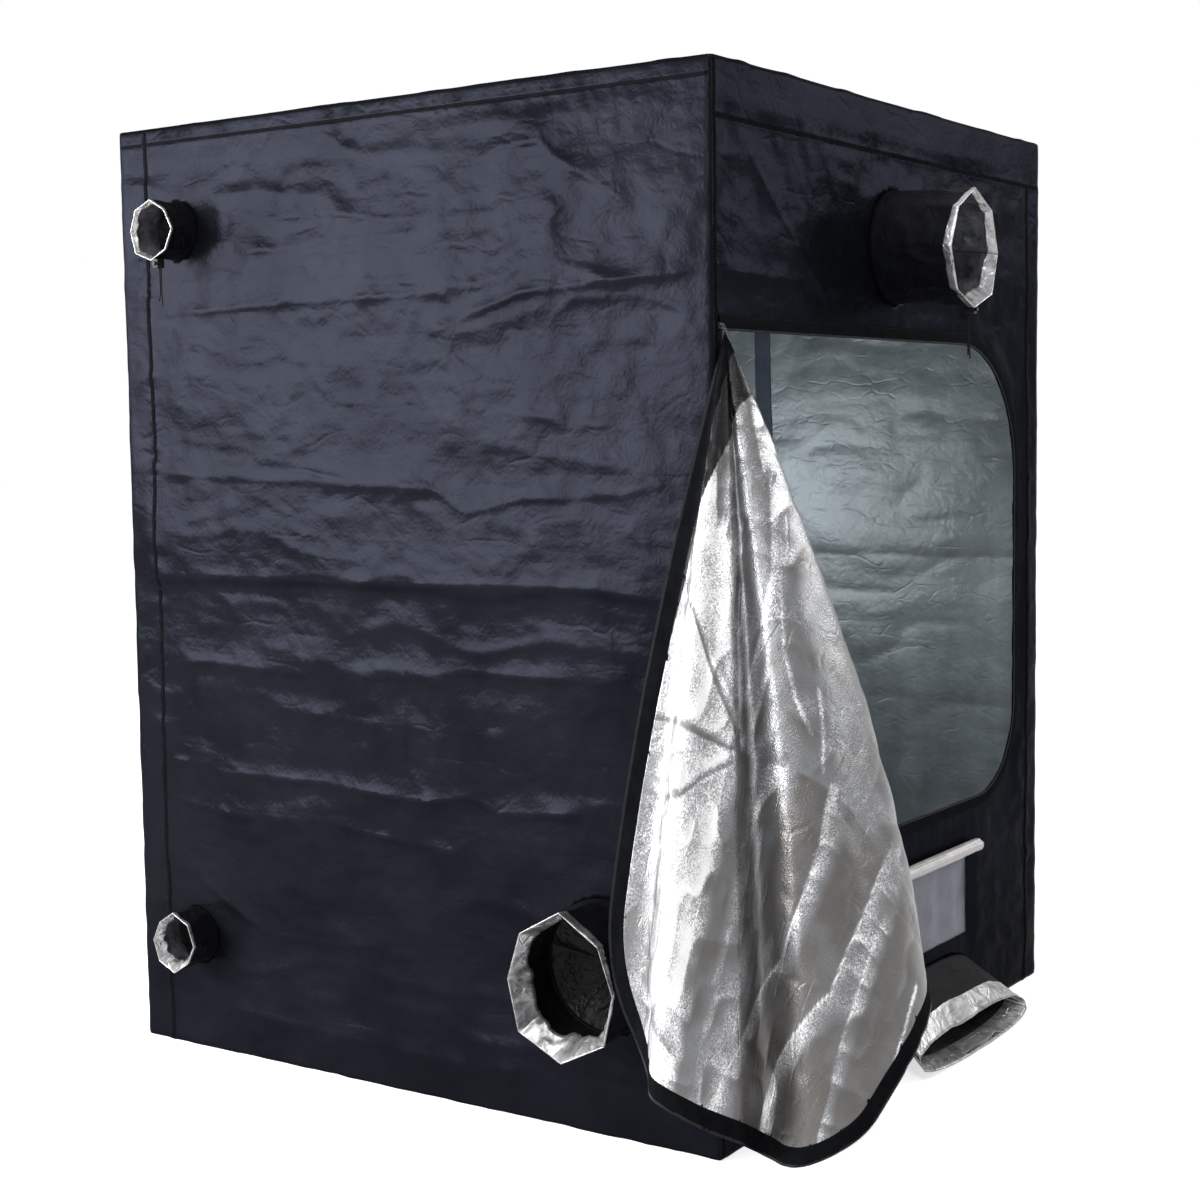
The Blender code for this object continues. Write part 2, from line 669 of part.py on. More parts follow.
def hung(x, down):
    """Where a point of the flat flap hangs: x from the seam and down from its top edge."""
    turn = math.atan2(down, x)
    past_middle = (math.degrees(turn) - CREASE_MIDDLE_DEG) / CREASE_WIDTH_DEG
    crease = CREASE_SHARE * math.exp(-past_middle ** 2)
    length = math.hypot(x, down) * (1 - crease)
    way = spread(turn)

    def opened(distance):
        return math.sin(math.pi / 2 * distance / FLAP_SPREAD_REACH)

    fall = 0.0
    for step in range(FALL_STEPS):
        rise = opened(length * (step + 1) / FALL_STEPS) - opened(length * step / FALL_STEPS)
        fall += math.sqrt(max((length / FALL_STEPS) ** 2 - (way.length * rise) ** 2, 0.0))
    facing = math.radians(FLAP_FACING_DEG)
    forward = Vector((math.cos(facing), math.sin(facing), 0.0))
    sideways = Vector((-forward.y, forward.x, 0.0))
    offset = (sideways * way.x + forward * way.y) * opened(length)
    return FLAP_TOP + offset - Vector((0.0, 0.0, fall))


def cloth_grid(name, columns, rows, thickness, place, material, origin):
    """A sheet over a grid, thickened about its middle; `place` maps shares to points."""

    def build(work):
        bmesh.ops.create_grid(work, x_segments=columns, y_segments=rows, size=1.0)
        for vert in work.verts:
            vert.co = place((vert.co.x + 1) / 2, (vert.co.y + 1) / 2)

    piece = add_piece(name, mesh_from(name, build), material, origin)
    cloth = piece.modifiers.new("Cloth", "SOLIDIFY")
    cloth.thickness = thickness
    cloth.offset = 0.0
    return piece


def strip(name, near, far, thickness, place, origin):
    """A strip of tape between two flat outlines that have as many points; `place` lays it out."""
    last = len(near) - 1

    def across(u, v):
        number = round(u * last)
        x, y = Vector(near[number]).lerp(Vector(far[number]), v)
        return place(x, y)

    return cloth_grid(name, last, 1, thickness, across, ZIP_TAPE, origin)


def add_door_flap():
    upper, lower = door_edges(FLAP_TAPE_WIDTH + FLAP_TAPE_GAP, 0.0, FLAP_RUN_STEPS)
    columns = len(upper) - 1

    def panel(u, v):
        number = round(u * columns)
        x, y = Vector(upper[number]).lerp(Vector(lower[number]), v ** ROW_CROWDING)
        return hung(x, -y)

    cloth_grid("door_flap", columns, FLAP_ROWS, FLAP_CLOTH, panel, LINING, FLAP_TOP)
    edge = door_outline(0.0, 0.0, FLAP_RUN_STEPS, FLAP_ROWS)
    inside = door_outline(FLAP_TAPE_WIDTH, 0.0, FLAP_RUN_STEPS, FLAP_ROWS)
    strip("door_flap_zip_tape", edge, inside, FLAP_CLOTH, lambda x, y: hung(x, -y), FLAP_TOP)


def add_door_frame():
    outer_face = FRONT - GAP
    middle = outer_face - FRAME_TAPE_THICKNESS / 2
    start = -FRAME_TAPE_WIDTH / 2
    strip("door_frame_zip_tape", door_outline(0.0, start), door_outline(-FRAME_TAPE_WIDTH, start),
          FRAME_TAPE_THICKNESS, lambda x, y: (SEAM_X + x, middle, OPENING_TOP + y), ORIGIN)

    low = OPENING_BOTTOM + BINDING_SET_BACK
    high = OPENING_TOP - BINDING_SET_BACK
    left = SEAM_X - BINDING_LAP
    box("door_seam_binding", (left, outer_face - BINDING_DEPTH, low),
        (left + BINDING_WIDTH, outer_face, high), ZIP_TAPE)


def add_slider(label, z):
    """A zip slider with its pull, at the left end of the top or bottom run of the zip."""
    face = FRONT - 2 * GAP - FRAME_TAPE_THICKNESS
    x = SEAM_X - SLIDER_START
    half_length, half_height = SLIDER_LENGTH / 2, SLIDER_HEIGHT / 2
    body = box_mesh("body", (x - half_length, face - SLIDER_DEPTH, z - half_height),
                    (x + half_length, face, z + half_height))
    front = face - SLIDER_DEPTH
    bar_y = front - ARCH_RISE
    arch = bpy.data.curves.new("arch", "CURVE")
    arch.dimensions = "3D"
    arch.bevel_depth = ARCH_RADIUS
    arch.bevel_resolution = 1
    arch.use_fill_caps = True
    spline = arch.splines.new("POLY")
    route = [(x - ARCH_SPAN / 2, front + SLIDER_EDGE), (x - ARCH_SPAN / 2, bar_y),
             (x + ARCH_SPAN / 2, bar_y), (x + ARCH_SPAN / 2, front + SLIDER_EDGE)]
    spline.points.add(len(route) - 1)
    for point, (px, py) in zip(spline.points, route):
        point.co = (px, py, z, 1.0)
    mesh = combine(body, [welded("arch", arch)], "UNION")
    add_piece(f"zip_slider_{label}", mesh, ZIP_METAL, (x, bar_y, z))

    lean = Matrix.Translation((x, bar_y, z)) @ Matrix.Rotation(-math.radians(PULL_LEAN_DEG), 4, "X")
    bpy.ops.mesh.primitive_torus_add(major_segments=ROUND_SIDES, minor_segments=PULL_RING_SIDES,
                                     major_radius=PULL_RING_RADIUS, minor_radius=PULL_RING_WIRE)
    torus = bpy.context.object
    ring = torus.data.copy()
    bpy.data.objects.remove(torus, do_unlink=True)
    ring.transform(Matrix.Rotation(math.pi / 2, 4, "Y"))
    top = -PULL_RING_RADIUS - PULL_BITE + PULL_RING_WIRE
    tab = box_mesh("tab", (-PULL_WIDTH / 2, -PULL_THICKNESS / 2, top - PULL_LENGTH),
                   (PULL_WIDTH / 2, PULL_THICKNESS / 2, top - PULL_RING_WIRE))
    pull = combine(ring, [tab], "UNION")
    pull.transform(lean)
    add_piece(f"zip_pull_{label}", pull, ZIP_PULL, (x, bar_y, z))


def add_vent():
    face = FRONT - GAP
    right, top = VENT_LEFT + VENT_WIDTH, VENT_BOTTOM + VENT_HEIGHT
    inner = FRONT + CLOTH + GAP
    box("vent_mesh", (VENT_LEFT - MESH_BORDER, inner, VENT_BOTTOM - MESH_BORDER),
        (right + MESH_BORDER, inner + MESH_THICKNESS, top + MESH_BORDER), NET)

    steps = int(ROLL_TURNS * ROLL_STEPS_PER_TURN)
    outer_line, inner_line = [], []
    for step in range(steps + 1):
        angle = 2 * math.pi * step / ROLL_STEPS_PER_TURN
        radius = ROLL_RADIUS - ROLL_PITCH * step / ROLL_STEPS_PER_TURN
        c, s = math.cos(angle), math.sin(angle)
        outer_line.append((c * radius, s * radius))
        inner_line.append((c * (radius - ROLL_CLOTH), s * (radius - ROLL_CLOTH)))
    half_run = VENT_WIDTH / 2 + ROLL_OVERHANG
    roll = prism_mesh("vent_flap_roll", outer_line + inner_line[::-1], -half_run, half_run)
    middle = Vector((VENT_LEFT + VENT_WIDTH / 2, ROLL_Y, ROLL_HEIGHT))
    roll.transform(Matrix.Translation(middle) @ Matrix.Rotation(math.pi / 2, 4, "Z"))
    add_piece("vent_flap_roll", roll, ROLLED_CLOTH, (middle.x, face, ROLL_HEIGHT + ROLL_RADIUS))


def smooth_route(points):
    """A smooth curve through a cord's own points, as evenly spaced places."""
    places = []
    for number in range(len(points) - 1):
        length = (points[number + 1] - points[number]).length
        steps = max(2, round(length / TAIL_POINT_SPACING))
        places += [smooth_place(points, number, step / steps) for step in range(steps)]
    return places + [points[-1]]


def add_tail(name, hem, sideways, outward, route):
    points = [hem + sideways * x + outward * y + Vector((0.0, 0.0, z)) for x, y, z in route]
    curve = bpy.data.curves.new(name, "CURVE")
    curve.dimensions = "3D"
    curve.bevel_depth = CORD_RADIUS
    curve.bevel_resolution = 2
    curve.use_fill_caps = True
    places = smooth_route(points)
    spline = curve.splines.new("POLY")
    spline.points.add(len(places) - 1)
    for point, place in zip(spline.points, places):
        point.co = (*place, 1.0)
    add_piece(name, curve, CORD)


def add_drawstring(port_name, label, tail_routes):
    """The cord lock, its button and two tails, under a sleeve's mouth."""
    port = PORTS[port_name]
    sideways, outward = SIDEWAYS[port.wall], OUTWARD[port.wall]
    hem = port_ring(port, RING_SHARES[LOCK_RING])[LOCK_STEP] - Vector((0.0, 0.0, HEM_GAP))
    for letter, side, route in zip("ab", (-1, 1), tail_routes):
        start = hem + sideways * (side * CORD_SPACING / 2)
        add_tail(f"{label}_cord_tail_{letter}", start, sideways, outward, route)

    across = Matrix.Identity(4)
    across.col[0][:3] = sideways
    across.col[1][:3] = -outward
    across.translation = hem - Vector((0.0, 0.0, LOCK_DROP + LOCK_HEIGHT / 2))
    half = Vector((LOCK_WIDTH, LOCK_DEPTH, LOCK_HEIGHT)) / 2
    mouth, back = -half.y * (1 + LOCK_FORWARD_SHARE), half.y * (1 - LOCK_FORWARD_SHARE)
    body = box_mesh("body", (-half.x, mouth, -half.z), (half.x, back, half.z))
    slot_x = CORD_SPACING / 2 + CORD_RADIUS + LOCK_SLOT_CLEARANCE
    slot_y = CORD_RADIUS + LOCK_SLOT_CLEARANCE
    slot = box_mesh("slot", (-slot_x, -slot_y, -half.z - OVERRUN), (slot_x, slot_y, half.z + OVERRUN))
    bore = rod_mesh("bore", (0.0, mouth - OVERRUN, 0.0), (0.0, mouth + BUTTON_LENGTH, 0.0),
                    BUTTON_RADIUS + BUTTON_CLEARANCE)
    lock = combine(body, [slot, bore], "DIFFERENCE")
    lock.transform(across)
    place = across.translation.copy()
    add_piece(f"{label}_cord_lock", lock, LOCK_PLASTIC, place)

    button = rod_mesh("button", (0.0, mouth - BUTTON_PROUD, 0.0),
                      (0.0, mouth - BUTTON_PROUD + BUTTON_LENGTH, 0.0), BUTTON_RADIUS)
    button.transform(across)
    add_piece(f"{label}_cord_button", button, LOCK_PLASTIC, place)


def shade_round_pieces():
    for piece in TENT.objects:
        if piece.type == "MESH":
            piece.data.shade_smooth()
            piece.data.set_sharp_from_angle(angle=math.radians(SMOOTH_ANGLE_DEG))


clear_scene()
TENT = make_collection("grow_tent")
GUIDES = make_collection("guides")
FLAP_TOP_Y = FRONT - GAP - BINDING_DEPTH - FLAP_SEAM_GAP - FLAP_CLOTH / 2
FLAP_TOP = Vector((SEAM_X, FLAP_TOP_Y, OPENING_TOP))

COVER = make_material("Black Oxford cloth", (0.022, 0.023, 0.028), 0.55)
SLEEVE_CLOTH = make_material("Sleeve cloth with silver lining", (0.45, 0.45, 0.46), 0.35, 0.4)
LINING = make_material("Silver lining", (0.62, 0.62, 0.62), 0.3, 0.8)
ZIP_TAPE = make_material("Black zip tape", (0.012, 0.012, 0.014), 0.7)
ZIP_METAL = make_material("Zip slider metal", (0.65, 0.65, 0.66), 0.3, 1.0)
ZIP_PULL = make_material("Zip pull", (0.45, 0.46, 0.46), 0.4, 0.6)
NET = make_material("White vent net", (0.62, 0.62, 0.70), 0.7)
ROLLED_CLOTH = make_material("Rolled vent flap", (0.62, 0.59, 0.55), 0.5)
STEEL = make_material("Painted steel", (0.05, 0.05, 0.055), 0.4, 0.3)
FITTING_PLASTIC = make_material("Black plastic fitting", (0.02, 0.02, 0.022), 0.5)
TRAY_SHEET = make_material("Floor tray", (0.02, 0.02, 0.024), 0.6)
CORD = make_material("Drawstring cord", (0.015, 0.015, 0.017), 0.8)
LOCK_PLASTIC = make_material("Cord lock plastic", (0.015, 0.015, 0.016), 0.45)

add_fittings()
add_poles()
add_roof_bars()
add_walls()
add_floor_tray()
add_sleeves()
add_door_frame()
add_door_flap()
add_slider("top", OPENING_TOP + SLIDER_HEIGHT / 2 + SLIDER_CLEARANCE)
add_slider("bottom", OPENING_BOTTOM - SLIDER_HEIGHT / 2 - SLIDER_CLEARANCE)
add_vent()
add_drawstring("sleeve_front_upper", "front", (FRONT_TAIL_A, FRONT_TAIL_B))
add_drawstring("sleeve_left_upper", "left", (LEFT_TAIL_A, LEFT_TAIL_B))
shade_round_pieces()
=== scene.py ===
"""Indoor grow tent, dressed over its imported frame: sewn cover, hung door flap, sleeves, poles.

Metres, +Z up. The front wall, with the door, faces -Y, and the left wall faces -X.
"""

import itertools
import math
from collections import namedtuple

import bmesh
import bpy
import numpy as np
from mathutils import Matrix, Vector, geometry


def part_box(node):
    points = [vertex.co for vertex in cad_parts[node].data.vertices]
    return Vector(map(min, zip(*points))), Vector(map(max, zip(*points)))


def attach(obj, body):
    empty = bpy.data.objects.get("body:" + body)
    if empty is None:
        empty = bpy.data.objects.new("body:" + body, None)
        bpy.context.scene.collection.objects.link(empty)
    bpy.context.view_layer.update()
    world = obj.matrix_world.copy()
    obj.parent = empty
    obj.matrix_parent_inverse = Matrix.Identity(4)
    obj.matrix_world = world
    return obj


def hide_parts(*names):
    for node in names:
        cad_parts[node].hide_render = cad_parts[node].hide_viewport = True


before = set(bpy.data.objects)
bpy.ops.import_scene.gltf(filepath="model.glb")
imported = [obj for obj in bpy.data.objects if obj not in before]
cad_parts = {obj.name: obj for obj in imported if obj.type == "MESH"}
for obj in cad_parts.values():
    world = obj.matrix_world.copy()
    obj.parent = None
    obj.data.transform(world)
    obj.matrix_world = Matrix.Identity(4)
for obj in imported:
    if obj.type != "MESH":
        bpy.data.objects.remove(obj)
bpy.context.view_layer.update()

# The camera that took the photograph
CAMERA_PLACE = (-3.8975, -2.6453, 1.3689)
CAMERA_AZIMUTH_DEG = 34.306
CAMERA_PITCH_DEG = -4.902
CAMERA_ROLL_DEG = -0.809
CAMERA_LENS_MM = 60.345

# The cover's outside, from the frame
LEFT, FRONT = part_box("wall_front")[0].xy
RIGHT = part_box("wall_front")[1].x
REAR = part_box("wall_rear")[1].y
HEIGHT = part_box("roof_cover")[1].z
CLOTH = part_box("floor_sheet")[1].z
GAP = 0.0003
EDGE_ROUNDING = 0.005

# The door opening, inside its zip tape
FRAME_TAPE_WIDTH = 0.028
TAPE_LOW, TAPE_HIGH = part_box("door_frame_zip_tape")
SEAM_X = TAPE_LOW.x + FRAME_TAPE_WIDTH / 2
OPENING_WIDTH = TAPE_HIGH.x - FRAME_TAPE_WIDTH - SEAM_X
OPENING_TOP = TAPE_HIGH.z - FRAME_TAPE_WIDTH
OPENING_BOTTOM = TAPE_LOW.z + FRAME_TAPE_WIDTH
OPENING_HEIGHT = OPENING_TOP - OPENING_BOTTOM
TOP_CORNER_RADIUS = 0.295
BOTTOM_CORNER_RADIUS = 0.205
ARC_STEPS = 30

# The hung flap, as the part's source has it
FLAP_TOP = np.array((SEAM_X, -0.7686, OPENING_TOP))
FLAP_TAPE_WIDTH = 0.040
FLAP_SPREAD = 0.40
FLAP_SPREAD_REACH = 1.6
FLAP_FACING_DEG = 210.5
FLAP_SIDE_SHARES = (
    -0.60, -0.39, -0.33, -0.17, 0.03, 0.15, 0.35, 0.63,
    0.84, 0.93, 0.83, 0.65, 0.50, 0.30, 0.15, 0.0,
)
FLAP_FRONT_SHARES = (
    0.76, 0.82, 0.98, 1.0, 0.90, 0.75, 0.90, 0.87,
    0.67, 0.42, 0.18, 0.32, 0.05, 0.27, 0.03, 0.0,
)
CREASE_SHARE = 0.09
CREASE_MIDDLE_DEG = 39.0
CREASE_WIDTH_DEG = 13.0
FALL_STEPS = 24
FLAP_COLUMNS = 280
FLAP_ROWS = 220

# The cloth that guards the zip, widest at the top of the seam
GUARD_EXTRA = 0.074
GUARD_REACH = 0.36

# The lining's own folds, in the flat door: x from the seam, and down from its top edge. Its
# painted brightness, painted lamp reflections and painted shade, goes by the turn from the top
# edge on this side of the packing fold, and by the way down beyond it.
PACK_FOLD = 0.715
Fold = namedtuple("Fold", "points height above below")
FLAP_FOLDS = (
    Fold(((0.70, -0.02), (0.705, -0.30), (0.715, -0.52), (0.72, -0.68), (0.665, -0.80)),
         0.007, 0.080, 0.060),
    Fold(((0.50, -0.10), (0.58, -0.207), (0.651, -0.311)), 0.0045, 0.030, 0.012),
    Fold(((0.86, -0.03), (0.85, -0.156), (0.80, -0.257), (0.746, -0.33)), 0.005, 0.030, 0.012),
    Fold(((0.736, -0.622), (0.91, -0.667), (1.02, -0.664), (1.217, -0.519), (1.30, -0.48)),
         0.003, 0.008, 0.030),
    Fold(((0.69, -0.771), (0.95, -0.803), (1.03, -0.815), (1.18, -0.741), (1.30, -0.70)),
         0.003, 0.008, 0.035),
    Fold(((0.84, -0.83), (1.09, -0.884), (1.26, -0.93)), 0.002, 0.008, 0.022),
    Fold(((0.98, -0.22), (1.025, -0.311), (1.077, -0.378)), 0.003, 0.015, 0.012),
)
# Painted light on the foil: high tones are painted reflections of the lamps, low ones painted
# shade, dull and warm below the packing fold
INNER_PAINTED_LIGHT = ((0, 0.44), (6, 0.52), (12, 0.66), (18, 0.80), (22, 0.70), (25, 0.52), (28, 0.40),
               (32, 0.24), (60, 0.23), (90, 0.2))
OUTER_PAINTED_LIGHT = ((0.0, 0.36), (0.10, 0.46), (0.18, 0.64), (0.25, 0.82), (0.33, 0.84), (0.37, 0.15),
               (0.40, 0.15), (0.43, 0.36), (0.50, 0.40), (0.54, 0.26), (0.56, 0.07), (1.05, 0.07))

# Painted highlight and shade bands of the foil: points along each one, its half width, and its
# tone
FLAP_PAINTED_BANDS = (
    (((0.17, -0.06), (0.25, -0.085), (0.33, -0.115)), 0.030, 0.12),
    (((0.45, -0.242), (0.54, -0.270), (0.631, -0.314), (0.70, -0.352)), 0.022, 0.85),
    (((0.13, -0.125), (0.20, -0.18), (0.26, -0.235), (0.40, -0.315), (0.52, -0.345),
      (0.60, -0.34)), 0.036, 0.66),
    (((0.19, -0.125), (0.30, -0.19), (0.40, -0.235), (0.50, -0.262)), 0.009, 0.26),
    (((0.471, -0.03), (0.521, -0.126), (0.574, -0.183), (0.636, -0.247), (0.688, -0.316)),
     0.010, 0.13),
    (((0.721, -0.04), (0.721, -0.101), (0.718, -0.207), (0.723, -0.316)), 0.012, 0.14),
    (((0.845, -0.037), (0.862, -0.104), (0.835, -0.21), (0.773, -0.284), (0.743, -0.326)),
     0.014, 0.16),
    (((0.42, -0.34), (0.47, -0.372), (0.53, -0.41), (0.60, -0.475), (0.64, -0.53)), 0.007, 0.62),
    (((1.20, -0.15), (1.12, -0.135), (1.00, -0.13)), 0.050, 0.17),
    (((0.736, -0.622), (0.82, -0.655), (0.91, -0.667), (1.02, -0.664), (1.10, -0.605),
      (1.217, -0.519), (1.30, -0.48)), 0.040, 0.66),
    (((0.688, -0.771), (0.84, -0.79), (0.95, -0.803), (1.03, -0.815), (1.18, -0.741),
      (1.30, -0.71)), 0.052, 0.72),
    (((0.838, -0.83), (0.97, -0.857), (1.09, -0.884), (1.20, -0.919), (1.26, -0.931)),
     0.026, 0.58),
    (((0.85, -0.96), (0.985, -0.991), (1.115, -1.018)), 0.008, 0.95),
    (((0.56, -0.499), (0.608, -0.536), (0.688, -0.585)), 0.006, 0.60),
    (((1.18, -0.05), (1.22, -0.20), (1.25, -0.34)), 0.030, 0.50),
)

# The vent window
VENT_LEFT, VENT_WIDTH, VENT_BOTTOM, VENT_HEIGHT = -0.060, 0.405, 0.197, 0.180

# The duct sleeves, as the part's source has them, and how far the silver shows outside and
# inside each mouth: at its right, top, left and bottom
Port = namedtuple("Port", "name wall along height radius reach droop cuff turned shares")
PORTS = {port.name: port for port in (
    Port("sleeve_left_upper", "left", 0.592, 1.806, 0.062, 0.075, 0.004,
         (0.004, 0.006, 0.003, 0.004), (0.008, 0.008, 0.008, 0.008),
         (1.04, 0.96, 1.05, 1.02, 0.97, 1.06, 1.03, 0.98)),
    Port("sleeve_left_lower", "left", 0.592, 0.254, 0.062, 0.075, 0.004,
         (0.004, 0.012, 0.003, 0.004), (0.012, 0.012, 0.022, 0.026),
         (1.02, 1.04, 1.10, 0.95, 1.0, 1.04, 1.08, 0.94)),
    Port("sleeve_left_large", "left", -0.506, 0.336, 0.132, 0.150, 0.006,
         (0.005, 0.024, 0.004, 0.006), (0.016, 0.016, 0.042, 0.052),
         (0.90, 0.94, 1.08, 0.98, 0.92, 1.05, 1.10, 1.04)),
    Port("sleeve_front_upper", "front", -0.026, 1.735, 0.118, 0.180, 0.014,
         (0.004, 0.006, 0.018, 0.012), (0.022, 0.010, 0.010, 0.030),
         (0.98, 1.02, 1.06, 0.97, 1.0, 1.03, 1.0, 1.04)),
)}
LIP_SLANT = 0.55
SOCK_DEPTH = 0.045

# A sleeve with a smaller radius than this has the satin lining, made lighter as painted light in
# its shaded tube
WIDE = 0.125

# The wide sleeve at the foot of the front wall
FLAT_FROM_MIDDLE, FLAT_MOUTH_SHIFT = 0.150, -0.014
FLAT_BASE = (0.215, 0.066, 0.098)
FLAT_MOUTH = (0.285, 0.029, 0.0315)
FLAT_COLLAR, FLAT_REACH, FLAT_LIP, FLAT_SQUARENESS = 0.004, 0.112, 0.020, 0.75

# The drawstring tails: sideways, outward and down from the hem
CORD_RADIUS = 0.0015
CORD_SPACING = 0.0044
HEM_GAP = 0.0016
LOCK_RING = 0.86
LOCK_STEP = 19
TAILS = {
    ("front", "a"): ((0, 0, 0), (0, 0, -0.05), (0, 0, -0.085), (-0.003, 0.001, -0.107)),
    ("front", "b"): ((0, 0, 0), (0, 0, -0.05), (0, 0, -0.085), (0.003, 0.001, -0.114)),
    ("left", "a"): ((0, 0, 0), (0, 0, -0.05), (0, 0, -0.078), (-0.004, 0.001, -0.092)),
    ("left", "b"): ((0, 0, 0), (0, 0, -0.05), (0, 0, -0.080), (0.004, 0.002, -0.104)),
}
TAIL_PORTS = {"front": "sleeve_front_upper", "left": "sleeve_left_upper"}
TAIL_POINT_SPACING = 0.0075

# Each flat side of the cover: a point on it, and the directions that its flat coordinates run in
Side = namedtuple("Side", "base right up")
SIDES = {
    "front": Side((0.0, FRONT, 0.0), (1.0, 0.0, 0.0), (0.0, 0.0, 1.0)),
    "left": Side((LEFT, 0.0, 0.0), (0.0, -1.0, 0.0), (0.0, 0.0, 1.0)),
    "right": Side((RIGHT, 0.0, 0.0), (0.0, 1.0, 0.0), (0.0, 0.0, 1.0)),
    "rear": Side((0.0, REAR, 0.0), (-1.0, 0.0, 0.0), (0.0, 0.0, 1.0)),
    "roof": Side((0.0, 0.0, HEIGHT), (1.0, 0.0, 0.0), (0.0, 1.0, 0.0)),
    "floor": Side((0.0, 0.0, 0.0), (-1.0, 0.0, 0.0), (0.0, 1.0, 0.0)),
}

# Sharp folds in the cover: flat coordinates along each one, its height, and how far it fades
# above and below
FOLDS = {
    "left": (
        Fold(((-0.67, 1.627), (-0.47, 1.631), (-0.27, 1.637), (-0.07, 1.636), (0.13, 1.638),
              (0.18, 1.604)), 0.0050, 0.030, 0.009),
        Fold(((0.08, 1.549), (0.21, 1.591), (0.33, 1.628), (0.54, 1.640), (0.747, 1.647)),
             0.0060, 0.030, 0.009),
        Fold(((0.388, 1.574), (0.459, 1.612), (0.605, 1.609), (0.734, 1.573)),
             0.0035, 0.02, 0.010),
        Fold(((-0.683, 1.282), (-0.427, 1.272), (-0.251, 1.264), (-0.05, 1.256), (0.093, 1.257),
              (0.188, 1.204), (0.324, 1.233), (0.509, 1.238), (0.707, 1.267)),
             0.0045, 0.035, 0.012),
        Fold(((-0.033, 1.212), (0.047, 1.249), (0.149, 1.236)), 0.004, 0.02, 0.010),
        Fold(((-0.73, 1.055), (-0.435, 1.059), (-0.205, 1.053), (0.093, 1.058), (0.361, 1.063),
              (0.506, 1.057), (0.66, 1.046)), 0.0060, 0.050, 0.010),
        Fold(((-0.704, 0.833), (-0.546, 0.870), (-0.381, 0.860), (-0.212, 0.857), (-0.074, 0.858),
              (0.017, 0.866), (0.180, 0.887), (0.317, 0.883), (0.592, 0.888)),
             0.0045, 0.030, 0.012),
        Fold(((-0.681, 0.644), (-0.580, 0.643), (-0.492, 0.626), (-0.367, 0.628), (-0.208, 0.629),
              (-0.035, 0.618), (0.086, 0.617), (0.184, 0.634), (0.259, 0.607), (0.471, 0.625)),
             0.0065, 0.022, 0.012),
        Fold(((-0.678, 0.563), (-0.584, 0.549), (-0.433, 0.535), (-0.200, 0.549), (-0.084, 0.533),
              (0.128, 0.518), (0.225, 0.561)), 0.0045, 0.018, 0.014),
        Fold(((-0.644, 0.414), (-0.504, 0.340), (-0.380, 0.280), (-0.258, 0.283), (-0.114, 0.290),
              (-0.050, 0.311)), 0.005, 0.018, 0.014),
        Fold(((-0.514, 0.106), (-0.287, 0.095), (-0.120, 0.089), (0.016, 0.086), (0.194, 0.080),
              (0.351, 0.103)), 0.007, 0.030, 0.030),
        Fold(((0.017, 0.849), (0.012, 0.692), (0.076, 0.628), (0.084, 0.550)), 0.003, 0.012, 0.02),
        Fold(((-0.528, 0.563), (-0.440, 0.505), (-0.395, 0.355)), 0.003, 0.015, 0.02),
        Fold(((-0.518, 1.856), (-0.344, 1.813), (-0.148, 1.815), (0.036, 1.783), (0.164, 1.801)),
             0.0035, 0.035, 0.012),
        Fold(((-0.434, 1.745), (-0.233, 1.754), (-0.016, 1.770), (0.138, 1.770)),
             0.003, 0.03, 0.012),
        Fold(((0.240, 1.906), (0.383, 1.912), (0.429, 1.871), (0.541, 1.807), (0.607, 1.756)),
             0.0035, 0.030, 0.012),
        Fold(((0.112, 1.742), (0.260, 1.714), (0.450, 1.767)), 0.003, 0.03, 0.012),
        Fold(((-0.420, 1.374), (-0.319, 1.356), (-0.247, 1.372)), 0.002, 0.02, 0.01),
        Fold(((0.278, 1.425), (0.419, 1.375), (0.601, 1.363)), 0.0025, 0.03, 0.012),
    ),
    "front": (
        Fold(((-0.745, 1.846), (-0.655, 1.895)), 0.003, 0.012, 0.012),
        Fold(((-0.648, 1.896), (-0.514, 1.774), (-0.293, 1.580)), 0.0035, 0.012, 0.012),
        Fold(((-0.704, 1.746), (-0.597, 1.813)), 0.003, 0.012, 0.012),
        Fold(((-0.755, 1.651), (-0.592, 1.650), (-0.413, 1.644), (-0.25, 1.642)),
             0.005, 0.014, 0.05),
        Fold(((0.008, 2.008), (0.022, 1.965)), 0.003, 0.008, 0.008),
        Fold(((0.051, 2.014), (0.031, 1.966)), 0.003, 0.008, 0.008),
        Fold(((0.699, 1.587), (0.677, 1.372), (0.70, 1.034)), 0.003, 0.012, 0.012),
    ),
    "right": (
        Fold(((-0.73, 1.030), (-0.35, 1.036), (0.1, 1.028), (0.73, 1.034)), 0.003, 0.02, 0.014),
        Fold(((-0.73, 0.66), (-0.35, 0.67), (0.1, 0.655), (0.73, 0.66)), 0.002, 0.02, 0.014),
    ),
    "rear": (
        Fold(((-0.73, 1.040), (-0.35, 1.046), (0.1, 1.036), (0.73, 1.045)), 0.008, 0.09, 0.014),
        Fold(((-0.73, 1.53), (-0.35, 1.52), (0.1, 1.525), (0.73, 1.52)), 0.006, 0.07, 0.014),
        Fold(((-0.73, 0.54), (-0.35, 0.53), (0.1, 0.535), (0.73, 0.53)), 0.006, 0.06, 0.014),
    ),
    "roof": (
        Fold(((-0.73, 0.0), (-0.35, 0.006), (0.1, -0.004), (0.73, 0.003)), 0.004, 0.05, 0.05),
    ),
    "floor": (),
}

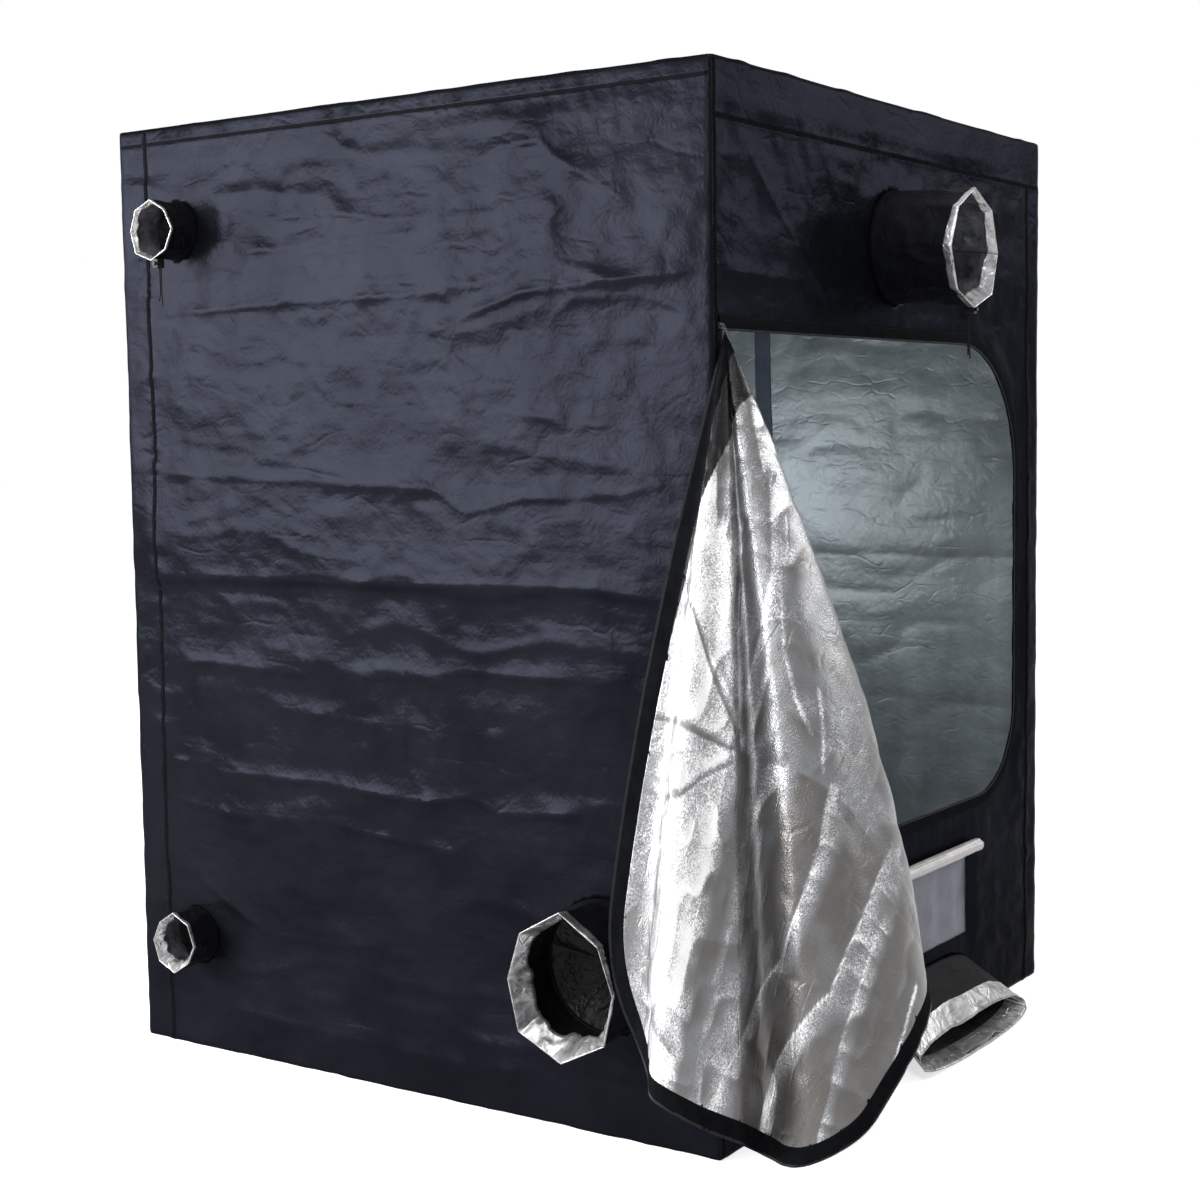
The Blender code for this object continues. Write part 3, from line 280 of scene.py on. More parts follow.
# How the packing folds leave each wall standing in or out, by height
PROFILES = {
    "left": ((0.0, 0.0), (0.09, 0.004), (0.30, 0.0), (0.54, 0.0015), (0.62, 0.0018), (0.66, 0.0),
             (0.85, 0.0), (0.875, 0.0008), (0.93, -0.0012), (1.035, -0.0010), (1.056, 0.0065),
             (1.30, 0.0), (1.63, 0.002), (2.04, 0.0)),
    "rear": ((0.0, 0.0), (0.54, 0.004), (0.60, -0.002), (1.03, -0.003), (1.05, 0.006), (1.5, 0.0),
             (1.53, 0.004), (2.04, 0.0)),
    "right": ((0.0, 0.0), (0.66, 0.002), (0.70, 0.0), (1.03, 0.002), (1.05, 0.0), (2.04, 0.0)),
    "front": ((0.0, 0.0), (0.20, 0.002), (1.60, 0.0), (1.65, 0.003), (1.80, -0.001), (2.04, 0.0)),
}

# Seams sewn across each side, as two points in its flat coordinates
SEAM_STRIP = 0.080
TOP_BAND_FRONT = 0.107
TOP_BAND_SIDE = 0.035
WRAP_AT_CORNER = 0.008
SEAMS = {
    "left": (((-REAR + SEAM_STRIP, 0.0), (-REAR + SEAM_STRIP, HEIGHT)),
             ((-REAR, HEIGHT - TOP_BAND_SIDE), (-FRONT, HEIGHT - TOP_BAND_SIDE))),
    "front": (((LEFT + WRAP_AT_CORNER, 0.0), (LEFT + WRAP_AT_CORNER, HEIGHT)),
              ((RIGHT - 0.072, 0.0), (RIGHT - 0.072, HEIGHT - TOP_BAND_FRONT)),
              ((LEFT, HEIGHT - TOP_BAND_FRONT), (RIGHT, HEIGHT - TOP_BAND_FRONT))),
    "right": (((REAR - SEAM_STRIP, 0.0), (REAR - SEAM_STRIP, HEIGHT)),
              ((FRONT, HEIGHT - TOP_BAND_SIDE), (REAR, HEIGHT - TOP_BAND_SIDE))),
    "rear": (((LEFT, HEIGHT - TOP_BAND_FRONT), (RIGHT, HEIGHT - TOP_BAND_FRONT)),),
    "roof": (),
    "floor": (),
}

# Rows of points that the cover's net has beside each seam and each sharp fold
SEAM_ROWS = (-0.0075, -0.0032, 0.0, 0.0032, 0.0075)
FOLD_ROWS = (-0.013, -0.006, 0.0, 0.007)

# Where each piece's noise starts, among the numbers that tell noises apart
FOLD_SEED, FLAP_FOLD_SEED, FLAP_SEED, TONE_SEED, FRAME_TAPE_SEED = 40, 60, 70, 80, 81
SLEEVE_SEED, WIDE_SLEEVE_SEED, NET_SEED, ROLL_SEED, TRAY_SEED = 90, 120, 130, 140, 150
SOCK_SEED, LIP_SEED = 180, 200


# Arrays of points

def bumps(points, size, seed):
    """Smooth noise from -1 to 1 at each point; `size` is the distance between its lumps."""
    places = np.asarray(points, float) / np.asarray(size, float)
    cell = np.floor(places).astype(np.int64)
    part = places - cell
    fade = part ** 3 * (part * (part * 6 - 15) + 10)
    total = np.zeros(len(places))
    width = places.shape[1]
    for corner in itertools.product((0, 1), repeat=width):
        at = cell + np.array(corner)
        mixed = np.full(len(at), seed * 2654435 + 97, np.int64)
        for axis, prime in zip(range(width), (73856093, 19349663, 83492791)):
            mixed ^= at[:, axis] * prime
        mixed = ((mixed ^ (mixed >> 13)) * 1274126177) & 0x7FFFFFFF
        mixed = ((mixed ^ (mixed >> 15)) * 668265263) & 0x7FFFFFFF
        value = (mixed >> 8 & 0xFFFF) / 0x7FFF - 1.0
        weight = np.prod([fade[:, axis] if corner[axis] else 1 - fade[:, axis]
                          for axis in range(width)], axis=0)
        total += weight * value
    return total


def ridges(points, size, seed):
    """Noise from -1 to 1 with sharp crests."""
    return 1.0 - 4.0 * np.abs(bumps(points, size, seed)) ** 0.8


def crumple(points, size, seed):
    """Creased noise in three sizes."""
    return (ridges(points, size, seed) + 0.5 * ridges(points, np.asarray(size) / 2.1, seed + 1)
            + 0.25 * ridges(points, np.asarray(size) / 4.3, seed + 2)) / 1.75


def smooth(value):
    """Eases from 0 to 1 as the value goes from 0 to 1."""
    value = np.clip(value, 0.0, 1.0)
    return value * value * (3 - 2 * value)


def unit(vectors):
    return vectors / np.linalg.norm(vectors, axis=-1, keepdims=True)


def on_circle(angles):
    return np.stack((np.cos(angles), np.sin(angles)), 1)


def to_line(points, line):
    """Each point's signed distance to a line of straight parts, its share of the way along the
    line, and the line's length."""
    line = np.asarray(line, float)
    parts = np.diff(line, axis=0)
    lengths = np.linalg.norm(parts, axis=1)
    starts = np.concatenate(([0.0], np.cumsum(lengths)))
    best = np.full(len(points), 1e9)
    signed = np.zeros(len(points))
    along = np.zeros(len(points))
    for start, part, length, passed in zip(line, parts, lengths, starts):
        offset = points - start
        share = np.clip(offset @ part / length ** 2, 0.0, 1.0)
        near = offset - share[:, None] * part
        distance = np.linalg.norm(near, axis=1)
        side = np.sign(part[0] * offset[:, 1] - part[1] * offset[:, 0])
        closer = distance < best
        best = np.where(closer, distance, best)
        signed = np.where(closer, distance * side, signed)
        along = np.where(closer, passed + share * length, along)
    return signed, along / starts[-1], starts[-1]


def to_outline(points, outline):
    """Distance from each point to a closed outline."""
    distance, _, _ = to_line(points, list(outline) + [outline[0]])
    return np.abs(distance)


def within(points, outline):
    """Which points lie inside a closed outline."""
    x, y = points[:, 0], points[:, 1]
    result = np.zeros(len(points), bool)
    outline = np.asarray(outline)
    for (x0, y0), (x1, y1) in zip(outline, np.roll(outline, -1, axis=0)):
        if y0 != y1:
            result ^= ((y0 > y) != (y1 > y)) & (x < (x1 - x0) * (y - y0) / (y1 - y0) + x0)
    return result


def even_line(points, spacing, closed=True):
    """The same line with points no further apart than `spacing`."""
    points = [np.asarray(point, float) for point in points]
    ends = points[1:] + points[:1] if closed else points[1:]
    line = []
    for start, end in zip(points, ends):
        steps = max(1, math.ceil(np.linalg.norm(end - start) / spacing))
        line += [start + (end - start) * step / steps for step in range(steps)]
    return np.array(line if closed else line + [points[-1]])


# Meshes and pieces

def mesh_piece(name, points, faces, materials, uv=None, face_slots=None, tone=None):
    """A smooth mesh object, with its flat coordinates and tones at its points; the lining's tones
    are painted light and shade.
    """
    mesh = bpy.data.meshes.new(name)
    mesh.from_pydata(np.asarray(points).tolist(), [], [list(map(int, face)) for face in faces])
    for material in materials:
        mesh.materials.append(material)
    if face_slots is not None:
        mesh.polygons.foreach_set("material_index", np.asarray(face_slots, np.int32))
    if uv is not None:
        layer = mesh.uv_layers.new(name="Flat")
        corners = np.zeros(len(mesh.loops), np.int32)
        mesh.loops.foreach_get("vertex_index", corners)
        layer.data.foreach_set("uv", np.asarray(uv, np.float32)[corners].ravel())
    if tone is not None:
        mesh.attributes.new("tone", "FLOAT", "POINT").data.foreach_set(
            "value", np.asarray(tone, np.float32))
    mesh.shade_smooth()
    mesh.update()
    piece = bpy.data.objects.new(name, mesh)
    bpy.context.scene.collection.objects.link(piece)
    return piece


def thicken(piece, thickness, offset=0.0, inner_slot=0, rim_slot=0):
    """Gives cloth its depth: all inward with offset -1, outward with 1, or half each way."""
    cloth = piece.modifiers.new("Cloth", "SOLIDIFY")
    cloth.thickness = thickness
    cloth.offset = offset
    cloth.material_offset = inner_slot
    cloth.material_offset_rim = rim_slot
    return piece


def grid_faces(columns, rows, closed=False):
    """Quads over a grid of points held row after row."""
    across = columns if closed else columns - 1
    faces = []
    for row in range(rows - 1):
        for column in range(across):
            right = (column + 1) % columns
            low, high = row * columns, (row + 1) * columns
            faces.append((low + column, low + right, high + right, high + column))
    return faces


def finished(piece, body, slot, *nodes):
    """The piece rides on its body, in place of the CAD nodes; its slot argument is not used."""
    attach(piece, body)
    if nodes:
        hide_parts(*nodes)
    return piece


# Materials

def made(tree, kind, sockets=(), **settings):
    """A shader node with its settings, and its sockets linked or set."""
    node = tree.nodes.new(kind)
    for key, value in settings.items():
        setattr(node, key, value)
    for key, value in dict(sockets).items():
        if isinstance(value, bpy.types.NodeSocket):
            tree.links.new(value, node.inputs[key])
        else:
            node.inputs[key].default_value = value
    return node


def maths(tree, operation, *values):
    """The result of a sum on sockets or numbers."""
    return made(tree, "ShaderNodeMath", enumerate(values), operation=operation).outputs[0]


def ranged(tree, value, low, high, to_low=0.0, to_high=1.0):
    """A value moved from one range to another."""
    return made(tree, "ShaderNodeMapRange", {
        "Value": value, "From Min": low, "From Max": high, "To Min": to_low,
        "To Max": to_high}).outputs["Result"]


def noise_socket(tree, place, size, detail=3.0, stretch=None):
    if stretch:
        place = made(tree, "ShaderNodeMapping", {"Vector": place, "Scale": stretch}).outputs[0]
    return made(tree, "ShaderNodeTexNoise", {
        "Vector": place, "Scale": 1 / size, "Detail": detail, "Roughness": 0.6}).outputs["Fac"]


def relief_socket(tree, place, kind, size):
    """A texture's height at a place, for a bump."""
    if kind == "noise":
        return noise_socket(tree, place, size)
    if kind in ("creases", "folds"):
        stretch = (0.5, 1.0, 1.0) if kind == "folds" else None
        noise = noise_socket(tree, place, size, 1.0, stretch)
        return maths(tree, "ABSOLUTE", maths(tree, "SUBTRACT", noise, 0.5))
    if kind == "lines":
        noise = made(tree, "ShaderNodeTexNoise", {"Vector": place, "Scale": 0.8 / size})
        pulled = made(tree, "ShaderNodeVectorMath", {
            0: noise.outputs["Color"], "Scale": size * 0.5}, operation="SCALE").outputs["Vector"]
        pulled = made(tree, "ShaderNodeVectorMath", {0: place, 1: pulled}).outputs["Vector"]
        pulled = made(tree, "ShaderNodeMapping", {"Vector": pulled, "Scale": (0.55, 1.2, 1.0)})
        gap = made(tree, "ShaderNodeTexVoronoi", {"Vector": pulled.outputs[0], "Scale": 1 / size},
                   feature="DISTANCE_TO_EDGE").outputs["Distance"]
        line = ranged(tree, gap, 0.0, 0.07)
        where = ranged(tree, noise_socket(tree, place, size * 1.3, 1.0), 0.46, 0.62)
        return maths(tree, "MULTIPLY", line, where)
    if kind == "facets":
        return made(tree, "ShaderNodeTexVoronoi", {"Vector": place, "Scale": 1 / size}).outputs[0]
    threads = [noise_socket(tree, place, size, 1.0, stretch)
               for stretch in ((0.4, 1.0, 1.0), (1.0, 0.4, 1.0))]
    return maths(tree, "ADD", *threads)


def surface(name, dark, light, patch, roughness, reliefs, metallic=0.0, specular=0.5,
            coords="UV", tint=(1.0, 1.0, 1.0), patch_stretch=None):
    """A material whose colour and roughness vary in patches, with a chain of bumps."""
    material = bpy.data.materials.new(name)
    material.use_nodes = True
    tree = material.node_tree
    shader = tree.nodes["Principled BSDF"]
    place = made(tree, "ShaderNodeTexCoord").outputs[coords]
    patches = noise_socket(tree, place, patch, 5.0, patch_stretch)
    ramp = made(tree, "ShaderNodeValToRGB", {"Fac": patches})
    for stop, at, colour in zip(ramp.color_ramp.elements, (0.32, 0.68), (dark, light)):
        stop.position = at
        stop.color = (*colour, 1.0)
    tree.links.new(ramp.outputs["Color"], shader.inputs["Base Color"])
    tree.links.new(ranged(tree, patches, 0.3, 0.7, *roughness), shader.inputs["Roughness"])
    normal = None
    for kind, size, height in reliefs:
        sockets = {"Height": relief_socket(tree, place, kind, size), "Distance": height}
        if normal:
            sockets["Normal"] = normal
        normal = made(tree, "ShaderNodeBump", sockets).outputs["Normal"]
    if normal:
        tree.links.new(normal, shader.inputs["Normal"])
    shader.inputs["Metallic"].default_value = metallic
    shader.inputs["Specular IOR Level"].default_value = specular
    shader.inputs["Specular Tint"].default_value = (*tint, 1.0)
    material.diffuse_color = (*light, 1.0)
    return material


# Each surface's dark and light colours, the size of its patches, its least and most roughness,
# and its reliefs, as kinds, sizes and heights
WEAVE = ("weave", 0.0018, 0.00005)
OXFORD_DARK, OXFORD_LIGHT = (0.0056, 0.0060, 0.0085), (0.0092, 0.0098, 0.0136)
COVER = surface("cover_oxford", OXFORD_DARK, OXFORD_LIGHT, 0.25, (0.26, 0.34),
                [WEAVE, ("lines", 0.10, 0.0004), ("folds", 0.06, 0.0020),
                 ("creases", 0.020, 0.0010), ("noise", 0.008, 0.0002)],
                metallic=0.5, specular=0.0, tint=(0.5, 0.5, 0.5))
MYLAR = surface("mylar_inside", (0.36, 0.41, 0.425), (0.54, 0.60, 0.635), 0.10, (0.28, 0.40),
                [("lines", 0.05, 0.0004), ("creases", 0.035, 0.0013), ("noise", 0.010, 0.0005)],
                metallic=0.35, patch_stretch=(1.0, 0.45, 1.0))
SILVER = surface("silver_lining", (0.50, 0.50, 0.51), (0.64, 0.64, 0.65), 0.05, (0.26, 0.34),
                 [("facets", 0.003, 0.0004), ("lines", 0.07, 0.0007), ("creases", 0.08, 0.0015)],
                 metallic=0.65)
TAPE = surface("zip_tape", (0.0045, 0.0048, 0.0056), (0.0080, 0.0085, 0.0100), 0.03, (0.6, 0.75),
               [("weave", 0.0018, 0.0001)], metallic=0.3, specular=0.0, tint=(0.5, 0.5, 0.5))
ROOF = surface("roof_oxford", OXFORD_DARK, OXFORD_LIGHT, 0.25, (0.38, 0.46),
               [WEAVE, ("lines", 0.10, 0.0004), ("creases", 0.06, 0.0010)],
               metallic=0.5, specular=0.0, tint=(0.5, 0.5, 0.5))
# Lighter than the flat sleeve's silver cuff: painted light on the lip where the mouth is shaded
LIP = surface("silver_lip", (0.17, 0.165, 0.17), (0.50, 0.49, 0.50), 0.026, (0.24, 0.34),
              [("lines", 0.03, 0.0008), ("creases", 0.03, 0.0024)], metallic=0.7)
CUFF = surface("silver_cuff", (0.12, 0.117, 0.12), (0.38, 0.375, 0.38), 0.026, (0.26, 0.36),
               [("lines", 0.03, 0.0008), ("creases", 0.03, 0.0022)], metallic=0.7)
# Grey lining lighter than the sleeves' dark inside, its light patches painted highlights in the
# shaded tube
SATIN_WITH_PAINTED_LIGHT = surface("satin_lining_painted_light", (0.07, 0.072, 0.082), (0.34, 0.34, 0.37), 0.045, (0.30, 0.42),
                [("noise", 0.03, 0.005)], metallic=0.5, specular=0.2)
SLEEVE_OUT = surface("sleeve_outside", (0.0035, 0.0036, 0.0045), (0.0055, 0.006, 0.0075), 0.08,
                     (0.5, 0.6), [WEAVE, ("lines", 0.04, 0.001)], specular=0.04)
SLEEVE_IN = surface("sleeve_inside", (0.005, 0.0052, 0.006), (0.016, 0.0165, 0.0185), 0.07,
                    (0.28, 0.36), [("noise", 0.05, 0.008)], specular=0.10)
NET = surface("vent_net", (0.20, 0.20, 0.25), (0.32, 0.32, 0.38), 0.05, (0.55, 0.7),
              [("noise", 0.003, 0.0003)])
ROLLED = surface("rolled_cloth", (0.40, 0.385, 0.385), (0.56, 0.54, 0.54), 0.05, (0.4, 0.55),
                 [("creases", 0.03, 0.003), ("noise", 0.006, 0.0005)], metallic=0.2)
ZIP_METAL = surface("zip_metal", (0.008, 0.008, 0.009), (0.05, 0.05, 0.052), 0.004, (0.22, 0.34),
                    [("noise", 0.0006, 0.00005)], metallic=0.3, specular=0.15, coords="Object")
ZIP_PULL = surface("zip_pull", (0.012, 0.012, 0.013), (0.028, 0.028, 0.030), 0.005, (0.28, 0.4),
                   [("noise", 0.0008, 0.00006)], specular=0.12, coords="Object")
TEETH = surface("zip_teeth", (0.012, 0.012, 0.014), (0.022, 0.022, 0.024), 0.01, (0.35, 0.45),
                [("noise", 0.001, 0.0001)], specular=0.1, coords="Object")
POLE = surface("painted_steel", (0.028, 0.028, 0.030), (0.045, 0.045, 0.048), 0.03, (0.32, 0.45),
               [("noise", 0.0012, 0.00004)], coords="Object")
FITTING = surface("moulded_fitting", (0.014, 0.014, 0.015), (0.024, 0.024, 0.026), 0.01,
                  (0.42, 0.55), [("noise", 0.0009, 0.00008)], coords="Object")
TRAY = surface("tray_sheet", (0.012, 0.012, 0.014), (0.024, 0.024, 0.027), 0.15, (0.45, 0.6),
               [("creases", 0.05, 0.002), ("noise", 0.01, 0.0006)])
CORD = surface("drawstring_cord", (0.008, 0.008, 0.009), (0.018, 0.018, 0.020), 0.004, (0.7, 0.85),
               [("weave", 0.0012, 0.0003)], specular=0.05, coords="Object")
THREAD = surface("sewing_thread", (0.010, 0.010, 0.012), (0.022, 0.022, 0.025), 0.01, (0.5, 0.65),
                 [("noise", 0.0006, 0.0001)], specular=0.03, coords="Object")
BAND = surface("band_tape", (0.100, 0.122, 0.168), (0.145, 0.170, 0.227), 0.05, (0.5, 0.65),
               [("weave", 0.0018, 0.0001)], specular=0.2)
LOCK = surface("lock_plastic", (0.010, 0.010, 0.011), (0.018, 0.018, 0.019), 0.01, (0.35, 0.5),
               [("noise", 0.0008, 0.00008)], specular=0.12, coords="Object")


# How far the painted glints stray from the tone, for each tone, and the foil's colour at each
# tone of painted light and shade
PAINTED_GLINT_SIZE = 0.0022
FOIL_PAINTED_GLINTS = ((0.0, 0.0), (0.05, 0.05), (0.25, 0.10), (0.32, 0.48), (0.45, 0.70), (0.66, 0.75),
              (0.84, 0.50), (1.0, 0.25))
FOIL_COLOURS = ((0.01, (0.005, 0.005, 0.006)), (0.03, (0.105, 0.097, 0.090)),
                (0.30, (0.185, 0.190, 0.200)), (0.50, (0.30, 0.30, 0.31)),
                (0.70, (0.50, 0.50, 0.51)), (0.90, (0.82, 0.82, 0.83)))


def foil_painted_light(material):
    """The lining's colour from its tone of painted light, broken into painted glints between dull
    and bright.
    """
    tree = material.node_tree
    shader = tree.nodes["Principled BSDF"]
    place = made(tree, "ShaderNodeTexCoord").outputs["UV"]
    tone = made(tree, "ShaderNodeAttribute", attribute_name="tone").outputs["Fac"]
    glint_cells = made(tree, "ShaderNodeTexVoronoi", {"Vector": place, "Scale": 1 / PAINTED_GLINT_SIZE})
    stray = maths(tree, "SUBTRACT", glint_cells.outputs["Color"], 0.5)
    reach = made(tree, "ShaderNodeFloatCurve", {"Value": tone})
    points = reach.mapping.curves[0].points
    for place_on_curve in FOIL_PAINTED_GLINTS[1:-1]:
        points.new(*place_on_curve)
    points[0].location, points[-1].location = FOIL_PAINTED_GLINTS[0], FOIL_PAINTED_GLINTS[-1]
    reach.mapping.update()
    mixed = maths(tree, "ADD", tone, maths(tree, "MULTIPLY", stray, reach.outputs[0]))
    ramp = made(tree, "ShaderNodeValToRGB", {"Fac": mixed})
    for at, _ in FOIL_COLOURS[1:-1]:
        ramp.color_ramp.elements.new(at)
    for stop, (at, colour) in zip(ramp.color_ramp.elements, FOIL_COLOURS):
        stop.position = at
        stop.color = (*colour, 1.0)
    tree.links.new(ramp.outputs["Color"], shader.inputs["Base Color"])


# The lining's base colour carries its painted light, shade and glints
foil_painted_light(SILVER)


def add_camera():
    """The camera that took the photograph, from its place, azimuth, pitch, roll and lens."""
    azimuth, pitch, roll = (math.radians(angle) for angle in (
        CAMERA_AZIMUTH_DEG, CAMERA_PITCH_DEG, CAMERA_ROLL_DEG))
    forward = Vector((math.cos(azimuth) * math.cos(pitch), math.sin(azimuth) * math.cos(pitch),
                      math.sin(pitch)))
    right = Vector((math.sin(azimuth), -math.cos(azimuth), 0.0))
    up = right.cross(forward)
    turned_right = right * math.cos(roll) + up * math.sin(roll)
    turned_up = up * math.cos(roll) - right * math.sin(roll)
    camera = bpy.data.objects.new("photo_camera", bpy.data.cameras.new("photo_camera"))
    camera.data.lens = CAMERA_LENS_MM
    camera.data.clip_end = 200.0
    turn = Matrix((turned_right, turned_up, -forward)).transposed().to_4x4()
    camera.matrix_world = Matrix.Translation(CAMERA_PLACE) @ turn
    bpy.context.scene.collection.objects.link(camera)
    bpy.context.scene.camera = camera


# Sleeves and their drawstrings

def outward(side):
    """The direction out of a side of the cover."""
    return np.cross(side.right, side.up)


def port_ring(port, share, angles):
    """Points round a sleeve: round at the wall, a crumpled octagon at the mouth."""
    side = SIDES[port.wall]
    sides = len(port.shares)
    place = (angles % (2 * math.pi)) / (2 * math.pi) * sides
    corner = np.floor(place + 1e-9).astype(int)
    along = place - corner
    shares = np.array(port.shares)
    a, b = shares[corner % sides], shares[(corner + 1) % sides]
    first, last = corner * 2 * math.pi / sides, (corner + 1) * 2 * math.pi / sides
    flat_x = a * np.cos(first) * (1 - along) + b * np.cos(last) * along
    flat_z = a * np.sin(first) * (1 - along) + b * np.sin(last) * along
    x = np.cos(angles) + (flat_x - np.cos(angles)) * share
    z = np.sin(angles) + (flat_z - np.sin(angles)) * share
    middle = np.array(side.base) + outward(side) * (GAP + port.reach * share)
    middle[1 if port.wall == "left" else 0] = port.along
    middle[2] = port.height - port.droop * share ** 2
    return (middle + np.outer(x * port.radius, side.right)
            + np.outer(z * port.radius, side.up))


def smooth_curve(a, b, c, d, t):
    """A smooth curve's place a share t of the way from b to c, with a before them and d after."""
    curve = 2 * b + (c - a) * t + (2 * a - 5 * b + 4 * c - d) * t ** 2
    return (curve + (3 * b - a - 3 * c + d) * t ** 3) / 2


def tail_places(points):
    """Points close together on the smooth curve through a tail's few points."""
    ends = [2 * points[0] - points[1]] + points + [2 * points[-1] - points[-2]]
    places = []
    for number in range(len(points) - 1):
        length = np.linalg.norm(points[number + 1] - points[number])
        steps = max(2, round(length / TAIL_POINT_SPACING))
        places += [smooth_curve(*ends[number:number + 4], step / steps) for step in range(steps)]
    return places + [points[-1]]


def add_tails():
    """The drawstring tails, each a cord out of its sleeve's hem."""
    for (wall, letter), route in TAILS.items():
        port, side = PORTS[TAIL_PORTS[wall]], SIDES[wall]
        sideways = np.array(side.right)
        step = 2 * math.pi / (3 * len(port.shares))
        hem = port_ring(port, LOCK_RING, np.array([LOCK_STEP * step]))[0] - (0.0, 0.0, HEM_GAP)
        hem = hem + sideways * (CORD_SPACING / 2 * (-1 if letter == "a" else 1))
        places = tail_places([hem + sideways * x + outward(side) * y + np.array((0.0, 0.0, z))
                              for x, y, z in route])
        curve = bpy.data.curves.new(f"{wall}_tail_{letter}", "CURVE")
        curve.dimensions = "3D"
        curve.bevel_depth = CORD_RADIUS
        curve.bevel_resolution = 4
        curve.use_fill_caps = True
        curve.materials.append(CORD)
        spline = curve.splines.new("POLY")
        spline.points.add(len(places) - 1)
        for point, place in zip(spline.points, places):
            point.co = (*place, 1.0)
        cord = bpy.data.objects.new(curve.name, curve)
        bpy.context.scene.collection.objects.link(cord)
        finished(cord, "tent", "cord", f"{wall}_cord_tail_{letter}")
        length = sum(np.linalg.norm(b - a) for a, b in zip(places, places[1:]))
        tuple(places[0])


add_camera()
add_tails()


# The cover

def rounded(points):
    """Points on the sharp box of the cover, moved onto its rounded edges, and their normals."""
    low = np.array((LEFT, FRONT, 0.0)) + EDGE_ROUNDING
    high = np.array((RIGHT, REAR, HEIGHT)) - EDGE_ROUNDING
    core = np.clip(points, low, high)
    normals = unit(points - core)
    return core + normals * EDGE_ROUNDING, normals


# A sharp fold dies away over this length at its ends, and its height wavers in lumps
FOLD_END = 0.07
FOLD_LUMP = 0.09


def fold_height(flat, fold, number):
    """The lift of one sharp fold, long above its crest and short below it."""
    distance, along, length = to_line(flat, fold.points)
    ends = smooth(np.minimum(along, 1 - along) * length / FOLD_END)
    run = np.stack((along * length, along * 0), 1)
    uneven = 0.75 + 0.35 * bumps(run, FOLD_LUMP, FOLD_SEED + number)
    side = np.where(distance > 0, np.exp(-distance / fold.above),
                    np.exp(np.minimum(distance, 0.0) / fold.below))
    return fold.height * ends * uneven * side


# The cover's noise, as heights and the sizes of its lumps: waves, as shares of one size, sharp
# creases on warped cloth, and small lumps that meeting sides share
WAVE_SIZE = np.array((0.34, 0.16))
WAVES = ((0.0036, 1.9), (0.0016, 0.8))
WARP, WARP_SIZE = 0.03, 0.2
CREASES = ((0.0011, (0.26, 0.09)), (0.0004, (0.11, 0.04)))
LUMPS = ((0.0012, 0.05), (0.0007, 0.022))
PROFILE_WAVER, PROFILE_WAVER_SIZE = 0.010, 0.22

# Where the cover is held flat: along its edges, and past the rim of each hole
HELD_BY_EDGE, HELD_BY_HOLE, HOLE_RIM = 0.07, 0.06, 0.004

# What a seam does to the cloth: a ridge on each side, a groove along it, and puckers
SEAM_RIDGE, SEAM_RIDGE_AT, SEAM_RIDGE_WIDTH, SEAM_GROOVE_WIDTH = 0.0010, 0.0045, 0.003, 0.002
PUCKER, PUCKER_PITCH, PUCKER_REACH, PUCKER_LUMP = 0.0012, 0.022, 0.016, 0.13

# Near the top edge the cloth is drawn over the rails, and there it only stands out
TOP_WAVER, TOP_WAVER_REACH, TOP_WAVER_SIZE = 0.0028, 0.012, 0.06
OUTWARD_DEPTH, OUTWARD_FADE, OUTWARD_EASE = 0.11, 0.04, 0.001

# The shared lumps fade away from these sides' edges, and the floor has them at its edges alone
CALM_SIDES, CALM_REACH, FLOOR_REACH = ("roof", "right", "rear"), 0.03, 0.02


def cover_relief(side_name, flat, points, edges):
    """How far the cloth stands off its flat side at each point."""
    seed = 10 * list(SIDES).index(side_name)
    low, high = side_extent(side_name)
    to_edge = np.min(np.concatenate((flat - low, high - flat), axis=1), axis=1)
    shared = sum(height * bumps(points, size, 3 + number)
                 for number, (height, size) in enumerate(LUMPS))
    if side_name == "floor":
        return shared * np.exp(-to_edge / FLOOR_REACH)
    if side_name in CALM_SIDES:
        shared *= 0.3 + 0.7 * np.exp(-to_edge / CALM_REACH)
    held = smooth(to_edge / HELD_BY_EDGE)
    for edge in edges:
        held *= smooth((to_outline(flat, edge) - HOLE_RIM) / HELD_BY_HOLE)
    relief = sum(height * bumps(flat, WAVE_SIZE * share, seed + number)
                 for number, (height, share) in enumerate(WAVES))
    warped = flat + WARP * bumps(flat, WARP_SIZE, seed + 2)[:, None]
    for number, (height, size) in enumerate(CREASES):
        relief += height * ridges(warped, size, seed + 3 + number)
    for number, fold in enumerate(FOLDS[side_name]):
        relief += fold_height(flat, fold, seed + number)
    if side_name in PROFILES:
        waver = bumps(flat * (1.0, 0.2), PROFILE_WAVER_SIZE, seed + 8)
        relief += np.interp(flat[:, 1] + PROFILE_WAVER * waver, *zip(*PROFILES[side_name]))
    relief *= held
    for number, seam in enumerate(SEAMS[side_name]):
        distance, along, length = to_line(flat, seam)
        gap = np.abs(distance)
        run = np.stack((along * length, along * 0 + number), 1)
        relief += (SEAM_RIDGE * np.exp(-((gap - SEAM_RIDGE_AT) / SEAM_RIDGE_WIDTH) ** 2)
                   - SEAM_RIDGE * np.exp(-(gap / SEAM_GROOVE_WIDTH) ** 2))
        relief += PUCKER * ridges(run, (PUCKER_PITCH, 1.0), seed + 5) * np.exp(
            -gap / PUCKER_REACH) * (0.5 + 0.5 * bumps(run, (PUCKER_LUMP, 1.0), seed + 6))
    relief += shared
    below_top = np.maximum(HEIGHT - points[:, 2], 0.0)
    relief += TOP_WAVER * np.exp(-below_top / TOP_WAVER_REACH) * bumps(
        points[:, :2], TOP_WAVER_SIZE, 5)
    lifted = (relief + np.sqrt(relief ** 2 + OUTWARD_EASE ** 2)) / 2
    return relief + (lifted - relief) * smooth((OUTWARD_DEPTH - below_top) / OUTWARD_FADE)


